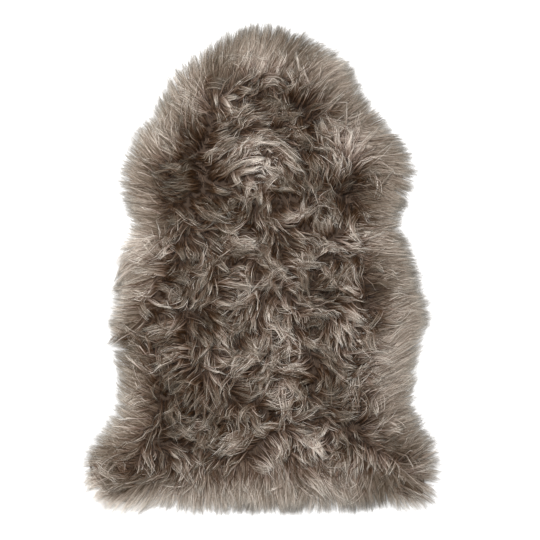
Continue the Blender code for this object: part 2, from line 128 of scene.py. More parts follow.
# The tufts that show, by the part of the pelt that they lie on: where each one is rooted, where its
# tip lies, how far it turns on the way, how wide it is, and how pale, from -1 to 1.
TUFTS = {
    # root x, root y, tip x, tip y, bend, width, tone
    "nape": (
        (-75, 334, -48, 293, 0, 14, 0.7),
        (-77, 326, -40, 336, -15, 10, 0.6),
        (-87, 346, -83, 311, 5, 7, 0.6),
        (-48, 351, -5, 347, 40, 12, 0.4),
        (-48, 299, -5, 316, -15, 12, 0.5),
        (-118, 348, -63, 350, -70, 14, 0.1),
        (-108, 363, -61, 361, -50, 12, 0.0),
        (3, 351, 46, 353, -150, 8, 0.4),
        (-5, 342, 55, 340, -140, 10, 0.2),
        (77, 338, 54, 394, 10, 16, 0.1),
        (94, 340, 77, 398, 5, 12, 0.2),
        (85, 367, 65, 422, 10, 10, 0.5),
        (87, 379, 116, 429, -10, 12, 0.3),
        (22, 283, 61, 289, -90, 9, 0.4),
        (-40, 375, -20, 425, -8, 16, 0.2),
        (-85, 375, -75, 425, 5, 16, 0.0),
        (30, 385, 48, 430, -5, 14, 0.3),
    ),
    "left shoulder": (
        (-104, 301, -168, 353, 50, 18, 0.4),
        (-122, 283, -186, 336, 25, 22, 0.2),
        (-118, 262, -165, 300, 20, 18, -0.2),
        (-150, 235, -205, 275, 10, 22, 0.1),
        (-112, 213, -79, 233, 8, 9, 0.7),
        (-151, 215, -196, 240, 10, 16, -0.2),
        (-175, 187, -150, 203, 20, 9, 0.2),
        (-130, 185, -195, 200, 15, 20, -0.3),
        (-120, 160, -190, 168, 10, 20, -0.3),
    ),
    "right shoulder": (
        (129, 240, 108, 299, 10, 16, 0.2),
        (151, 225, 143, 283, -8, 12, 0.6),
        (166, 219, 178, 279, 0, 14, 0.5),
        (178, 211, 219, 275, 5, 14, 0.3),
        (190, 196, 256, 250, 5, 16, 0.2),
        (141, 172, 155, 219, -5, 12, 0.3),
        (120, 300, 160, 345, -10, 18, 0.1),
        (110, 265, 170, 285, -20, 18, -0.2),
        (110, 315, 140, 370, -12, 14, 0.2),
    ),
    "withers": (
        (3, 149, 40, 184, -55, 10, 0.6),
        (-81, 182, -20, 209, -25, 18, 0.4),
        (-94, 219, -34, 256, -35, 18, 0.3),
        (-55, 229, 18, 254, -30, 20, 0.5),
        (-17, 252, 54, 237, -30, 20, 0.5),
        (15, 254, 83, 200, -15, 16, 0.6),
        (38, 223, 91, 180, 5, 10, 0.9),
        (-13, 213, 46, 182, 5, 8, 0.7),
        (3, 192, 24, 215, -10, 6, 0.6),
        (-85, 274, -59, 281, -60, 7, 0.6),
        (-92, 252, -55, 268, -30, 14, 0.1),
        (-30, 285, 20, 300, -40, 14, 0.0),
        (60, 265, 110, 240, -20, 14, 0.0),
        (95, 225, 120, 180, 10, 14, -0.3),
        (-50, 195, -35, 150, 20, 14, 0.4),
        (-20, 180, -28, 130, -20, 12, 0.5),
        (-48, 204, 12, 214, -20, 16, 0.5),
        (-52, 186, 8, 196, -15, 14, 0.4),
        (-5, 165, 0, 118, 15, 12, 0.3),
    ),
    "back": (
        (-94, 163, -57, 151, 100, 9, 0.4),
        (-116, 137, -55, 96, 80, 16, 0.8),
        (-126, 128, -75, 91, 60, 10, 0.5),
        (-129, 87, -102, 52, 0, 7, 0.6),
        (-67, 91, -38, 63, 0, 14, 0.3),
        (-75, 9, 7, 52, -115, 20, 0.7),
        (-55, 17, 3, 40, -90, 12, 0.4),
        (-9, 69, 15, 48, -30, 8, 0.5),
        (-87, 26, -57, -5, 5, 16, 0.0),
        (-87, 17, -122, -52, 30, 14, 0.6),
        (-92, -15, -104, -52, 5, 8, 0.5),
        (-87, -20, -1, -36, -10, 14, 0.6),
        (-96, -79, -61, -104, 35, 10, 0.3),
        (-9, -79, -57, -129, 20, 12, 0.9),
        (-1, -44, -59, -81, 20, 12, 0.7),
        (1, -40, 18, -26, -60, 7, 0.6),
        (-85, -100, -59, -141, 5, 9, 0.5),
        (15, -112, 1, -159, -5, 12, 0.8),
        (22, -42, 46, -30, -80, 8, 0.5),
        (48, -34, 71, -48, -60, 8, 0.4),
        (3, 1, 20, -22, -120, 8, 0.6),
        (24, 7, 11, -18, -60, 8, 0.6),
        (13, 28, 48, -5, 20, 10, 0.7),
        (44, 11, 124, 5, -60, 20, 0.5),
        (-30, 120, -42, 80, -20, 12, 0.2),
        (-20, 5, -25, -30, 30, 10, 0.3),
    ),
    "left flank": (
        (-180, 124, -137, 96, -25, 8, 0.7),
        (-149, 15, -118, 15, 170, 6, 0.6),
        (-137, 46, -120, 13, -20, 8, 0.9),
        (-161, 48, -143, 13, -10, 12, 0.5),
        (-178, 54, -188, 28, 30, 8, 0.8),
        (-170, 73, -203, 54, 15, 8, 0.5),
        (-176, -3, -250, -3, 25, 22, 0.5),
        (-200, 36, -248, 13, 10, 18, 0.6),
        (-205, -32, -165, -48, -75, 12, 0.8),
        (-254, -28, -223, -50, 90, 4, 0.5),
        (-219, -54, -161, -71, 20, 10, 0.6),
        (-176, -69, -135, -50, 60, 8, 0.6),
        (-240, -57, -209, -92, 5, 18, 0.1),
        (-153, -98, -229, -118, 10, 14, 0.5),
        (-161, -116, -215, -135, 8, 14, 0.2),
        (-128, -92, -122, -135, -5, 12, -0.2),
        (-112, -122, -98, -159, -10, 12, 0.2),
        (-145, -153, -221, -196, 5, 14, 0.6),
        (-149, -168, -172, -198, -25, 8, 0.6),
        (-196, -153, -165, -178, 5, 5, 0.5),
        (-219, -215, -237, -227, 0, 4, 0.6),
        (-217, -217, -196, -250, 10, 5, 0.4),
        (-180, -192, -170, -238, -20, 6, 0.6),
        (-182, -240, -174, -221, -130, 4, 0.6),
        (-140, 100, -185, 95, -20, 16, -0.2),
        (-230, -130, -268, -105, 15, 18, 0.0),
        (-225, -165, -262, -145, 10, 18, -0.1),
    ),
    "right flank": (
        (13, 145, 18, 106, 25, 9, 0.3),
        (22, 100, 89, 110, 35, 16, 0.7),
        (81, 104, 83, 141, 30, 9, 0.4),
        (77, 145, 34, 159, 50, 8, 0.0),
        (83, 96, 108, 124, 5, 6, 0.8),
        (110, 145, 151, 116, -5, 10, 0.5),
        (186, 124, 217, 100, -5, 8, 0.5),
        (135, 69, 129, 114, 10, 12, 0.2),
        (124, 63, 118, 98, 5, 10, 0.3),
        (165, 79, 198, 52, 10, 10, 0.5),
        (153, 42, 217, 36, -20, 10, 0.5),
        (15, 91, 40, 75, 10, 6, 0.6),
        (122, 13, 128, -15, 5, 9, 0.6),
        (186, 22, 155, -15, -10, 14, 0.4),
        (237, 3, 266, -13, 0, 7, 0.3),
        (194, -44, 165, -28, -20, 14, 0.5),
        (73, -92, 143, -98, -110, 16, 0.6),
        (83, -108, 120, -112, -150, 8, 0.1),
        (155, -71, 203, -106, -5, 18, 0.4),
        (149, -96, 178, -124, -5, 12, 0.7),
        (139, -112, 157, -139, -5, 10, 0.6),
        (237, -73, 202, -118, -10, 10, 0.3),
        (22, -94, 46, -135, 0, 10, 0.5),
        (54, -75, 54, -124, 0, 8, 0.6),
        (60, 75, 95, 50, 20, 12, 0.0),
        (85, 45, 105, 15, -20, 12, 0.1),
        (230, 60, 275, 55, 5, 18, 0.3),
        (225, -20, 270, -5, -10, 18, 0.4),
        (232, -50, 280, -42, 5, 18, 0.4),
    ),
    "loin": (
        (-91, -149, -54, -165, -60, 8, 0.6),
        (-85, -174, -28, -180, 10, 12, 0.4),
        (15, -131, -57, -207, -5, 14, 1.0),
        (-94, -209, -73, -270, 5, 14, 0.6),
        (-116, -244, -91, -279, 0, 10, 0.4),
        (-83, -287, -48, -277, -30, 5, 0.5),
        (-40, -235, 15, -229, 20, 16, 0.1),
        (11, -186, 15, -217, 5, 5, 0.6),
        (34, -155, 20, -192, 5, 8, 0.7),
        (81, -174, 44, -196, 10, 12, 0.6),
        (48, -203, 85, -252, -10, 16, 0.5),
        (77, -219, 100, -242, 120, 7, -0.1),
        (102, -213, 77, -217, 90, 7, 0.0),
        (71, -244, 55, -281, 110, 6, 0.7),
        (55, -281, 83, -256, 90, 7, 0.6),
        (83, -256, 63, -242, 80, 6, 0.5),
        (46, -207, 52, -289, 25, 10, 0.7),
        (57, -289, 114, -260, 30, 10, 0.5),
        (57, -299, 100, -311, 10, 10, 0.2),
        (48, -299, -5, -299, -5, 12, 0.1),
        (-215, -244, -264, -262, 40, 22, 0.4),
        (-130, -215, -150, -260, -15, 14, 0.0),
        (120, -165, 150, -200, 20, 14, 0.0),
        (133, -252, 182, -237, 5, 12, 0.6),
        (186, -237, 235, -203, 0, 14, 0.5),
        (178, -209, 205, -174, 0, 12, 0.3),
        (135, -285, 195, -270, 10, 16, -0.1),
    ),
    "rump": (
        (-20, -311, -91, -357, 20, 24, 0.4),
        (-63, -299, -96, -330, 10, 14, 0.1),
        (83, -314, 131, -363, -10, 20, 0.8),
        (131, -289, 112, -322, -20, 8, 0.5),
        (57, -349, 91, -373, -5, 8, 0.8),
        (24, -332, 54, -371, 5, 14, 0.3),
        (-124, -313, -108, -355, -70, 6, 0.6),
        (-176, -344, -151, -367, 0, 5, 0.7),
        (-225, -338, -204, -390, 15, 10, 0.8),
        (-190, -300, -150, -320, 20, 14, -0.2),
        (161, -344, 165, -398, 10, 14, 0.4),
        (186, -340, 188, -400, -20, 14, 0.5),
        (205, -313, 238, -318, 70, 12, 0.1),
        (239, -295, 281, -309, -5, 20, 0.4),
        (237, -338, 262, -346, 0, 10, 0.4),
        (210, -345, 215, -385, 10, 12, 0.1),
        (145, -305, 175, -335, 10, 14, -0.2),
    ),
    "hind legs": (
        (-270, -348, -297, -314, 0, 16, 0.3),
        (-277, -367, -322, -363, 5, 18, 0.2),
        (-258, -398, -320, -375, -45, 18, 0.0),
        (-252, -336, -264, -324, 60, 8, 0.4),
        (-235, -405, -290, -425, 10, 20, 0.1),
        (233, -353, 258, -396, 25, 14, 0.7),
        (262, -361, 243, -392, -10, 8, 0.5),
        (275, -349, 297, -311, 0, 14, 0.5),
        (281, -365, 328, -330, 5, 16, 0.3),
        (281, -388, 338, -371, 5, 16, 0.1),
        (262, -420, 310, -440, -5, 18, 0.0),
        (-322, -362, -268, -408, 35, 22, 0.1),
        (-326, -385, -285, -428, 40, 18, 0.1),
        (-297, -349, -284, -361, 0, 6, 0.6),
        (-294, -329, -271, -345, 0, 8, 0.5),
        (-316, -374, -303, -390, 0, 5, 0.7),
    ),
    "tail": (
        (-157, -355, -128, -418, 0, 14, 0.6),
        (-174, -363, -149, -396, 0, 10, 0.4),
        (-133, -361, -114, -371, 0, 4, 0.7),
        (-17, -375, 20, -386, -25, 16, 0.3),
        (-46, -390, -20, -431, 0, 12, 0.5),
        (-79, -396, -67, -441, 5, 12, 0.4),
        (-108, -388, -116, -435, 5, 14, 0.2),
        (57, -371, 147, -462, -15, 20, 0.5),
        (81, -373, 135, -447, -10, 16, 0.4),
        (112, -390, 186, -458, 10, 18, 0.5),
        (155, -412, 178, -453, 5, 14, 0.4),
        (207, -416, 165, -457, -20, 10, 0.7),
        (75, -408, 108, -441, 40, 6, 0.6),
        (44, -412, 11, -422, -40, 5, 0.6),
        (10, -390, 20, -440, 5, 14, 0.2),
    ),
}

# Where the wool piles up or parts, and the broad patches that lie pale or dark, in mm. A tone is
# mostly from -1 to 1, and it fades out over the radius. The tone is painted light and shade: a
# patch is drawn paler where the wool catches the light and darker in hollows and partings.
MOUNDS = (
    # name, x, y, radius, rise, tone (painted light and shade)
    ("arch over the shoulders", 10, 218, 75, 7, 0.55),
    ("arch hollow", -5, 236, 14, -1, 0.1),
    ("nape curl", 30, 375, 45, 4, 0.25),
    ("nape top", -14, 402, 48, 0, 0.85),
    ("nape right edge", 65, 438, 28, 0, -0.5),
    ("nape left pit", -50, 372, 26, -5, -0.9),
    ("nape parting", 45, 336, 26, -5, -0.8),
    ("nape parting right", 88, 326, 26, -5, -0.8),
    ("dark S in the nape", 2, 338, 18, -5, -0.8),
    ("left nape knot", -58, 318, 20, 3, 0.4),
    ("left cheek patch", -130, 338, 26, 4, 0.4),
    ("neck centre", 28, 290, 20, 2, 0.1),
    ("neck right band", 80, 275, 34, -2, -0.4),
    ("left shoulder hollow", -128, 262, 34, -7, -0.8),
    ("left shoulder slit", -130, 213, 26, -6, -0.8),
    ("left body", -150, 170, 55, -3, -0.7),
    ("left body low", -155, 95, 50, -3, -0.65),
    ("right shoulder hollow", 96, 238, 24, -6, -0.7),
    ("right shoulder fan", 168, 245, 36, 5, 1.2),
    ("right elbow hollow", 192, 172, 36, -8, -1.0),
    ("right elbow low", 168, 122, 38, -5, -0.85),
    ("chest band", 60, 165, 34, -3, -0.6),
    ("chest band right", 118, 165, 34, -3, -0.6),
    ("chest whorl", 74, 106, 26, 3, 0.6),
    ("breast pit", -20, 104, 20, -6, -0.8),
    ("left rib hollow", -90, 76, 30, -6, -0.9),
    ("left rib hollow top", -82, 126, 26, -4, -0.8),
    ("back knot", -30, 60, 22, 3, 0.5),
    ("back right pit", 55, 46, 22, -4, -0.6),
    ("back right roll", 76, 20, 24, 3, 0.5),
    ("hook pit", -42, 30, 14, -5, -0.4),
    ("spine pit", 0, -62, 17, -6, -0.2),
    ("right middle pit", 100, -38, 28, -6, -0.8),
    ("right middle pit end", 140, -50, 22, -6, -0.7),
    ("whorl light", 105, -76, 18, 3, 0.5),
    ("whorl pit", 110, -110, 26, -4, -0.5),
    ("right waist hollow", 170, 30, 20, -5, -0.1),
    ("right flank parting", 229, -40, 23, -8, -1.8),
    ("right flank lower parting", 228, -108, 20, -7, -1.5),
    ("right flank lap", 180, -88, 34, 4, 0.8),
    ("left waist", -150, 2, 34, -3, -0.8),
    ("left rib parting", -118, -98, 30, -8, -0.7),
    ("left flank low", -215, -135, 34, -3, -0.4),
    ("spine pale slope", -34, -44, 24, 2, 0.3),
    ("spine low slope", -84, -184, 26, 3, 0.8),
    ("spine low pit", -22, -125, 22, -4, -0.5),
    ("loin column", 38, -232, 28, 3, 0.6),
    ("loin column low", 46, -276, 20, 2, 0.4),
    ("rosette pit", 94, -220, 20, -6, -0.8),
    ("rosette high pit", 128, -182, 30, -4, -0.7),
    ("right loin hollow", 150, -285, 34, -5, -0.15),
    ("left loin dark", -155, -212, 34, -4, -0.8),
    ("left loin dark low", -190, -242, 34, -4, -1.0),
    ("left thigh dark", -176, -298, 36, -5, -0.8),
    ("left loin parting", -78, -300, 24, -7, -0.7),
    ("loin dark", -40, -235, 34, -3, -0.5),
    ("left haunch light", -60, -337, 22, 3, 0.4),
    ("haunch hollow", -142, -350, 34, -7, -0.4),
    ("left hind dark", -240, -398, 38, 0, -0.45),
    ("left hind mound", -280, -360, 40, 4, 0.0),
    ("rump mound", 110, -340, 30, 5, 1.1),
    ("rump right pit", 170, -345, 24, -6, -0.6),
    ("tail centre", 10, -384, 26, 3, 0.6),
    ("tail centre ring", -42, -363, 20, -2, 0.3),
    ("tail right fan", 156, -424, 45, 2, 0.55),
    ("tail dark", 74, -408, 20, -4, -0.6),
    ("tail left dark", -110, -400, 18, -3, 0.0),
    ("right hind parting", 238, -415, 30, -7, -1.0),
    ("right hock parting", 274, -345, 26, -6, -0.8),
    ("right hind tuft", 236, -378, 18, 3, 0.8),
    ("left flank band", -185, -75, 26, -2, -0.2),
    ("spine left", -92, -85, 26, -2, -0.5),
    ("left loin low", -105, -270, 28, -3, -0.6),
    ("left haunch pit", -88, -352, 20, -3, -0.5),
    ("arch front", 35, 265, 26, -2, -0.7),
    ("nape floor", 5, 325, 24, -3, -0.5),
    ("arch left front", -52, 273, 26, -2, -0.8),
    ("left shoulder soft", -170, 185, 34, 0, -0.4),
    ("breast left", -45, 145, 26, -2, -0.5),
    ("breast right", 45, 140, 26, -2, -0.4),
    ("right middle low", 130, -30, 20, -2, -0.4),
    ("whorl edge", 115, -92, 20, -2, -0.4),
    ("rosette right", 138, -236, 22, -2, -0.7),
    ("back middle", 15, 45, 20, -1, -0.4),
    ("left elbow light", -222, 52, 34, 2, 0.7),
    ("left shoulder light", -200, 255, 24, 2, 0.4),
    ("right fan low", 190, 212, 26, 3, 0.5),
    ("right elbow light", 222, 66, 28, 2, 0.5),
    ("right waist light", 156, 62, 30, 2, 0.9),
    ("right loin bridge", 160, -152, 34, 3, 0.7),
    ("right loin light", 226, -190, 28, 2, 0.3),
    ("rosette top", 78, -172, 24, 2, 0.8),
    ("spine light", 10, -110, 28, 2, 0.6),
    ("spine right light", 45, -60, 20, 1, 0.4),
    ("rump bright", 130, -318, 20, 2, 0.4),
    ("left loin light", -248, -250, 28, 1, 0.5),
    ("arch middle", -5, 212, 34, 3, 0.5),
    ("arch foot", -8, 174, 24, 1, 0.7),
    ("right waist pit", 214, 8, 22, -3, -0.5),
    ("spine right slope", 60, -132, 26, 1, 0.7),
    ("right belly inner", 250, -150, 26, 0, 0.4),
    ("rump right light", 205, -342, 22, 1, 0.4),
    ("left rib roll", -150, -98, 24, 2, 0.5),
    ("spine left dark", -45, -90, 22, -1, -0.3),
    ("right fan foot", 165, 205, 26, 1, 0.5),
    ("left elbow upper", -215, 130, 24, 0, 0.4),
    ("left shoulder inner", -165, 232, 20, 0, 0.3),
    ("loin column side", 12, -272, 22, -1, -0.4),
    ("tail centre low", 8, -418, 22, 0, -0.2),
    ("left hock inner", -300, -348, 24, 0, -0.5),
    ("tail spine", 20, -340, 26, 1, 0.8),
    ("back left", -98, -5, 34, -1, -0.35),
    ("left nape inner", -84, 384, 24, -1, -0.8),
    ("nape centre", 25, 396, 24, 0, 0.3),
    ("right hind inner", 290, -416, 20, -1, -0.5),
    ("left hind tip inner", -296, -428, 22, 0, -0.6),
    ("left belly inner", -258, -155, 30, 0, -0.5),
    ("left loin inner", -246, -215, 22, 0, -0.35),
    ("left flank inner", -254, -95, 20, 0, -0.4),
    ("left elbow inner", -220, 98, 20, 0, -0.3),
    ("left neck inner", -172, 318, 22, 0, -0.35),
    ("tail inner right", 202, -390, 20, 0, 0.4),
    ("right fan bright", 185, 240, 20, 1, 0.5),
    ("left flank soft", -205, -60, 24, 0, 0.3),
    ("tail inner left", -135, -388, 22, 0, 0.25),
    ("tail front light", 48, -388, 22, 1, 0.3),
)


class Region(Enum):
    """The parts of the fleece, each a piece of its own, from the tail to the neck."""

    TAIL = "tail_wool"
    RUMP = "rump_wool"
    LOIN = "loin_wool"
    BACK = "back_wool"
    SHOULDERS = "shoulder_wool"
    NECK = "neck_wool"


def linear(code: str) -> tuple[float, float, float, float]:
    """Turns an sRGB hex colour into Blender's linear colour.

    Args:
        code: The colour, such as "#A89E91".

    Returns:
        Red, green, blue and alpha, linear.
    """
    shares = (int(code[i : i + 2], 16) / 255 for i in (1, 3, 5))
    red, green, blue = (s / 12.92 if s <= 0.04045 else ((s + 0.055) / 1.055) ** 2.4 for s in shares)
    return red, green, blue, 1.0


def wire(node: bpy.types.Node, links: dict[Any, Any] | Sequence[Any]) -> None:
    """Links or sets the inputs of a node.

    Args:
        node: The node.
        links: For each input, by name or number or in their order: a socket or a node to link, or
            a value to set.
    """
    for key, value in links.items() if isinstance(links, dict) else enumerate(links):
        if isinstance(value, bpy.types.Node):
            value = next(output for output in value.outputs if output.enabled)
        named = (socket for socket in node.inputs if socket.enabled and socket.name == key)
        taker = next(named) if isinstance(key, str) else node.inputs[key]
        if isinstance(value, bpy.types.NodeSocket):
            node.id_data.links.new(value, taker)
        else:
            taker.default_value = value


def add(
    tree: bpy.types.NodeTree, kind: str, links: dict[Any, Any] | Sequence[Any] = (), **settings: Any
) -> Any:
    """Adds a node with its settings, values and links.

    Args:
        tree: The tree that takes the node.
        kind: The node's type name.
        links: What the inputs are linked or set to, as in wire.
        settings: The node's own settings.

    Returns:
        The new node.
    """
    node = tree.nodes.new(kind)
    for name, value in settings.items():
        setattr(node, name, value)
    wire(node, links)
    return node


def surface(name: str) -> tuple[bpy.types.Material, bpy.types.NodeTree, bpy.types.Node]:
    """Starts a material.

    Args:
        name: The material's name.

    Returns:
        The material, its node tree and its shader.
    """
    made = bpy.data.materials.new(name)
    made.use_nodes = True
    return made, made.node_tree, made.node_tree.nodes["Principled BSDF"]


def mesh_object(
    name: str, places: Array, faces: Sequence[Sequence[int]], edges: Sequence[Sequence[int]] = ()
) -> bpy.types.Object:
    """Makes an object from points and faces, and links it to the scene.

    Args:
        name: The object's name.
        places: The points, one row each.
        faces: The corners of each face.
        edges: The ends of each edge that belongs to no face.

    Returns:
        The new object.
    """
    mesh = bpy.data.meshes.new(name)
    mesh.from_pydata(places.tolist(), edges, faces)
    mesh.update()
    made = bpy.data.objects.new(name, mesh)
    bpy.context.scene.collection.objects.link(made)
    return made


def flat(places: Array) -> Array:
    """Turns rows of x, y into complex places."""
    return places[..., 0] + 1j * places[..., 1]


def portions(places: Array) -> Iterator[tuple[slice, Array]]:
    """Gives places a few at a time, so that what is worked out for them stays small.

    Args:
        places: Complex places, of any shape.

    Yields:
        Where the places stand in the flattened array, and a column of them.
    """
    for first in range(0, places.size, PORTION):
        part = slice(first, first + PORTION)
        yield part, places.ravel()[part, None]


def spots(area: tuple[float, float], pitch: float, random: np.random.Generator) -> Array:
    """Spreads uneven spots over a rectangle about the origin.

    Args:
        area: Half the rectangle's width and length.
        pitch: The mean distance between neighbours.
        random: The source of the unevenness.

    Returns:
        Complex places.
    """
    across, along = (int(side / pitch) + 2 for side in (area[0], area[1] / ROW_SPACING))
    grid = [
        complex((i + 0.5 * (j % 2)) * pitch, j * pitch * ROW_SPACING)
        for i in range(-across, across + 1)
        for j in range(-along, along + 1)
    ]
    loose = random.uniform(-SPOT_PLAY, SPOT_PLAY, (len(grid), 2)) * pitch
    return np.array(grid) + flat(loose)


def drift(places: Array, pitch: float, random: np.random.Generator) -> Array:
    """Gives numbers that wander over the floor, so that neighbours get nearly the same.

    Args:
        places: Complex places, one for each number.
        pitch: The distance over which the numbers change.
        random: The source of the numbers.

    Returns:
        A number for each place, with a spread of one about zero.
    """
    nodes = spots(DRIFT_AREA, pitch, random)
    weight = np.exp(-(np.abs(places[:, None] - nodes[None]) ** 2) / (DRIFT_BLUR * pitch**2))
    return weight @ random.normal(0.0, 1.0, len(nodes)) / np.linalg.norm(weight, axis=1)


def arc(turn: Array, steps: int, sway: Array | float = 0.0) -> Array:
    """Draws lines of unit length that leave the origin along +X and turn evenly.

    Args:
        turn: How far each line turns, in radians.
        steps: The number of points on a line.
        sway: How far each line swings to one side and then the other, in radians.

    Returns:
        Complex places, a row for each line.
    """
    share = np.linspace(0.0, 1.0, steps)
    swing = np.atleast_1d(sway)[:, None] * np.sin(2 * np.pi * share)
    heading = np.exp(1j * (np.atleast_1d(turn)[:, None] * share + swing))
    middles = (heading[:, 1:] + heading[:, :-1]) / 2
    line = np.cumsum(middles, axis=1) / (steps - 1)
    return np.concatenate([np.zeros((len(line), 1)), line], axis=1)


@dataclass
class Pelt:
    """The rug's outline, the way that it is combed, and what can be measured from it."""

    landmarks: tuple[tuple[str, float, float, float, float, float], ...] = OUTLINE
    steps: int = 480
    span_steps: int = 16
    normal_reach: int = 6  # points to each side that the outward direction is taken over
    comb_blur: float = 0.030
    band_solid: float = 0.55  # the share of the pale band that has its full tone
    band_fade: float = 0.9
    net_corners: tuple[complex, ...] = (-0.31 - 0.42j, 0.31 - 0.42j, 0.22 + 0.26j, -0.21 + 0.26j)
    ring: Array = field(init=False)
    normals: Array = field(init=False)
    combs: Array = field(init=False)
    bands: Array = field(init=False)
    tones: Array = field(init=False)

    def __post_init__(self) -> None:
        """Works out the outline as an even ring of points, with what holds at each of them."""
        rows = np.array([row[1:] for row in self.landmarks], dtype=float)
        knots = rows[:, :2] * MM
        combed = np.exp(1j * np.radians(rows[:, 2]))
        before, after, beyond = (np.roll(knots, k, axis=0) for k in (1, -1, -2))
        shares = np.linspace(0.0, 1.0, self.span_steps, endpoint=False)[None, :, None]
        start, end = knots[:, None], after[:, None]
        leave = start + (after - before)[:, None] / 6
        arrive = end - (beyond - knots)[:, None] / 6
        rest = 1 - shares
        line = rest**3 * start + 3 * rest**2 * shares * leave
        line = line + 3 * rest * shares**2 * arrive + shares**3 * end
        line = np.concatenate([line.reshape(-1, 2), knots[:1]])
        along = np.concatenate([[0.0], np.cumsum(np.linalg.norm(np.diff(line, axis=0), axis=1))])
        at = np.linspace(0.0, along[-1], self.steps, endpoint=False)
        self.ring = np.stack([np.interp(at, along, line[:, k]) for k in (0, 1)], axis=1)
        reach = self.normal_reach
        ahead = np.roll(self.ring, -reach, axis=0) - np.roll(self.ring, reach, axis=0)
        outward = np.stack([ahead[:, 1], -ahead[:, 0]], axis=1)
        self.normals = outward / np.linalg.norm(outward, axis=1, keepdims=True)
        turns = np.arange(len(rows) + 1) * self.span_steps
        where = np.interp(at, along, np.arange(len(line)))

        def even(values: Array) -> Array:
            """Spreads a landmark's value evenly over the ring."""
            return np.interp(where, turns, np.append(values, values[0]))

        self.combs = even(combed.real) + 1j * even(combed.imag)
        # The pale band's tone along the ring is painted light.
        self.bands, self.tones = even(rows[:, 3]) * MM, even(rows[:, 4])

    def find(self, places: Array) -> tuple[Array, Array]:
        """Finds the nearest point of the outline, and how far inside it places lie.

        Args:
            places: Complex places, of any shape.

        Returns:
            The number of the nearest point, and the distance to it, negative outside the outline.
        """
        ring, normals = flat(self.ring), flat(self.normals)
        found, number = np.empty(places.size), np.empty(places.size, dtype=int)
        for part, column in portions(places):
            away = column - ring[None]
            nearest = np.abs(away).argmin(axis=1)
            away = away[np.arange(len(away)), nearest]
            side = (away * normals[nearest].conj()).real
            found[part], number[part] = -np.sign(side) * np.abs(away), nearest
        return number.reshape(places.shape), found.reshape(places.shape)

    def depth(self, places: Array) -> Array:
        """Measures how far inside the outline places lie, of any shape."""
        return self.find(places)[1]

    def comb(self, places: Array) -> Array:
        """Gives the way that the wool is combed at places, evened over the rim near them.

        Args:
            places: Complex places, one for each root.

        Returns:
            A complex unit for each place.
        """
        distance = np.abs(places[:, None] - flat(self.ring)[None])
        near = distance.min(axis=1, keepdims=True)
        weight = np.exp(-((distance**2 - near**2) / (2 * self.comb_blur**2)))
        way = weight @ self.combs
        return way / np.abs(way)

    def pale(self, places: Array) -> Array:
        """Gives the painted light that the pale band along the rim adds at places.

        Args:
            places: Complex places, of any shape.

        Returns:
            The painted light at each place, as a tone.
        """
        nearest, depth = self.find(places)
        share = (depth / self.bands[nearest] - self.band_solid) / self.band_fade
        share = np.clip(share, 0.0, 1.0)
        return self.tones[nearest] * (1 - share**2 * (3 - 2 * share))

    def patch(self, inset: float, across: int, along: int, spread_steps: int) -> Array:
        """Spreads a net of places evenly over the pelt.

        Args:
            inset: How far inside the outline the net ends.
            across: The number of its cells from side to side.
            along: The number of its cells from tail to neck.
            spread_steps: How often the net is evened out.

        Returns:
            Complex places by number across and along.
        """
        edge = flat(self.ring - self.normals * inset)
        corners = [int(np.abs(edge - spot).argmin()) for spot in self.net_corners]

        def stretch(side: int, count: int) -> Array:
            """Cuts one side of the net evenly out of the edge.

            Args:
                side: The number of the side, from the tail round to the left.
                count: The number of the net's cells along it.

            Returns:
                Complex places, one more than the cells.
            """
            first, last = corners[side], corners[(side + 1) % 4]
            line = np.roll(edge, -first)[: (last - first) % len(edge) + 1]
            at = np.linspace(0.0, len(line) - 1, count + 1)
            return np.interp(at, np.arange(len(line)), line)

        tail, right = stretch(0, across), stretch(1, along)
        neck, left = stretch(2, across)[::-1], stretch(3, along)[::-1]
        u = np.linspace(0.0, 1.0, across + 1)[:, None]
        v = np.linspace(0.0, 1.0, along + 1)[None, :]
        net = (1 - v) * tail[:, None] + v * neck[:, None] + (1 - u) * left[None] + u * right[None]
        net = net - (1 - v) * ((1 - u) * tail[0] + u * tail[-1])
        net = net - v * ((1 - u) * neck[0] + u * neck[-1])
        for _ in range(spread_steps):
            net[1:-1, 1:-1] = (net[:-2, 1:-1] + net[2:, 1:-1] + net[1:-1, :-2] + net[1:-1, 2:]) / 4
        return net


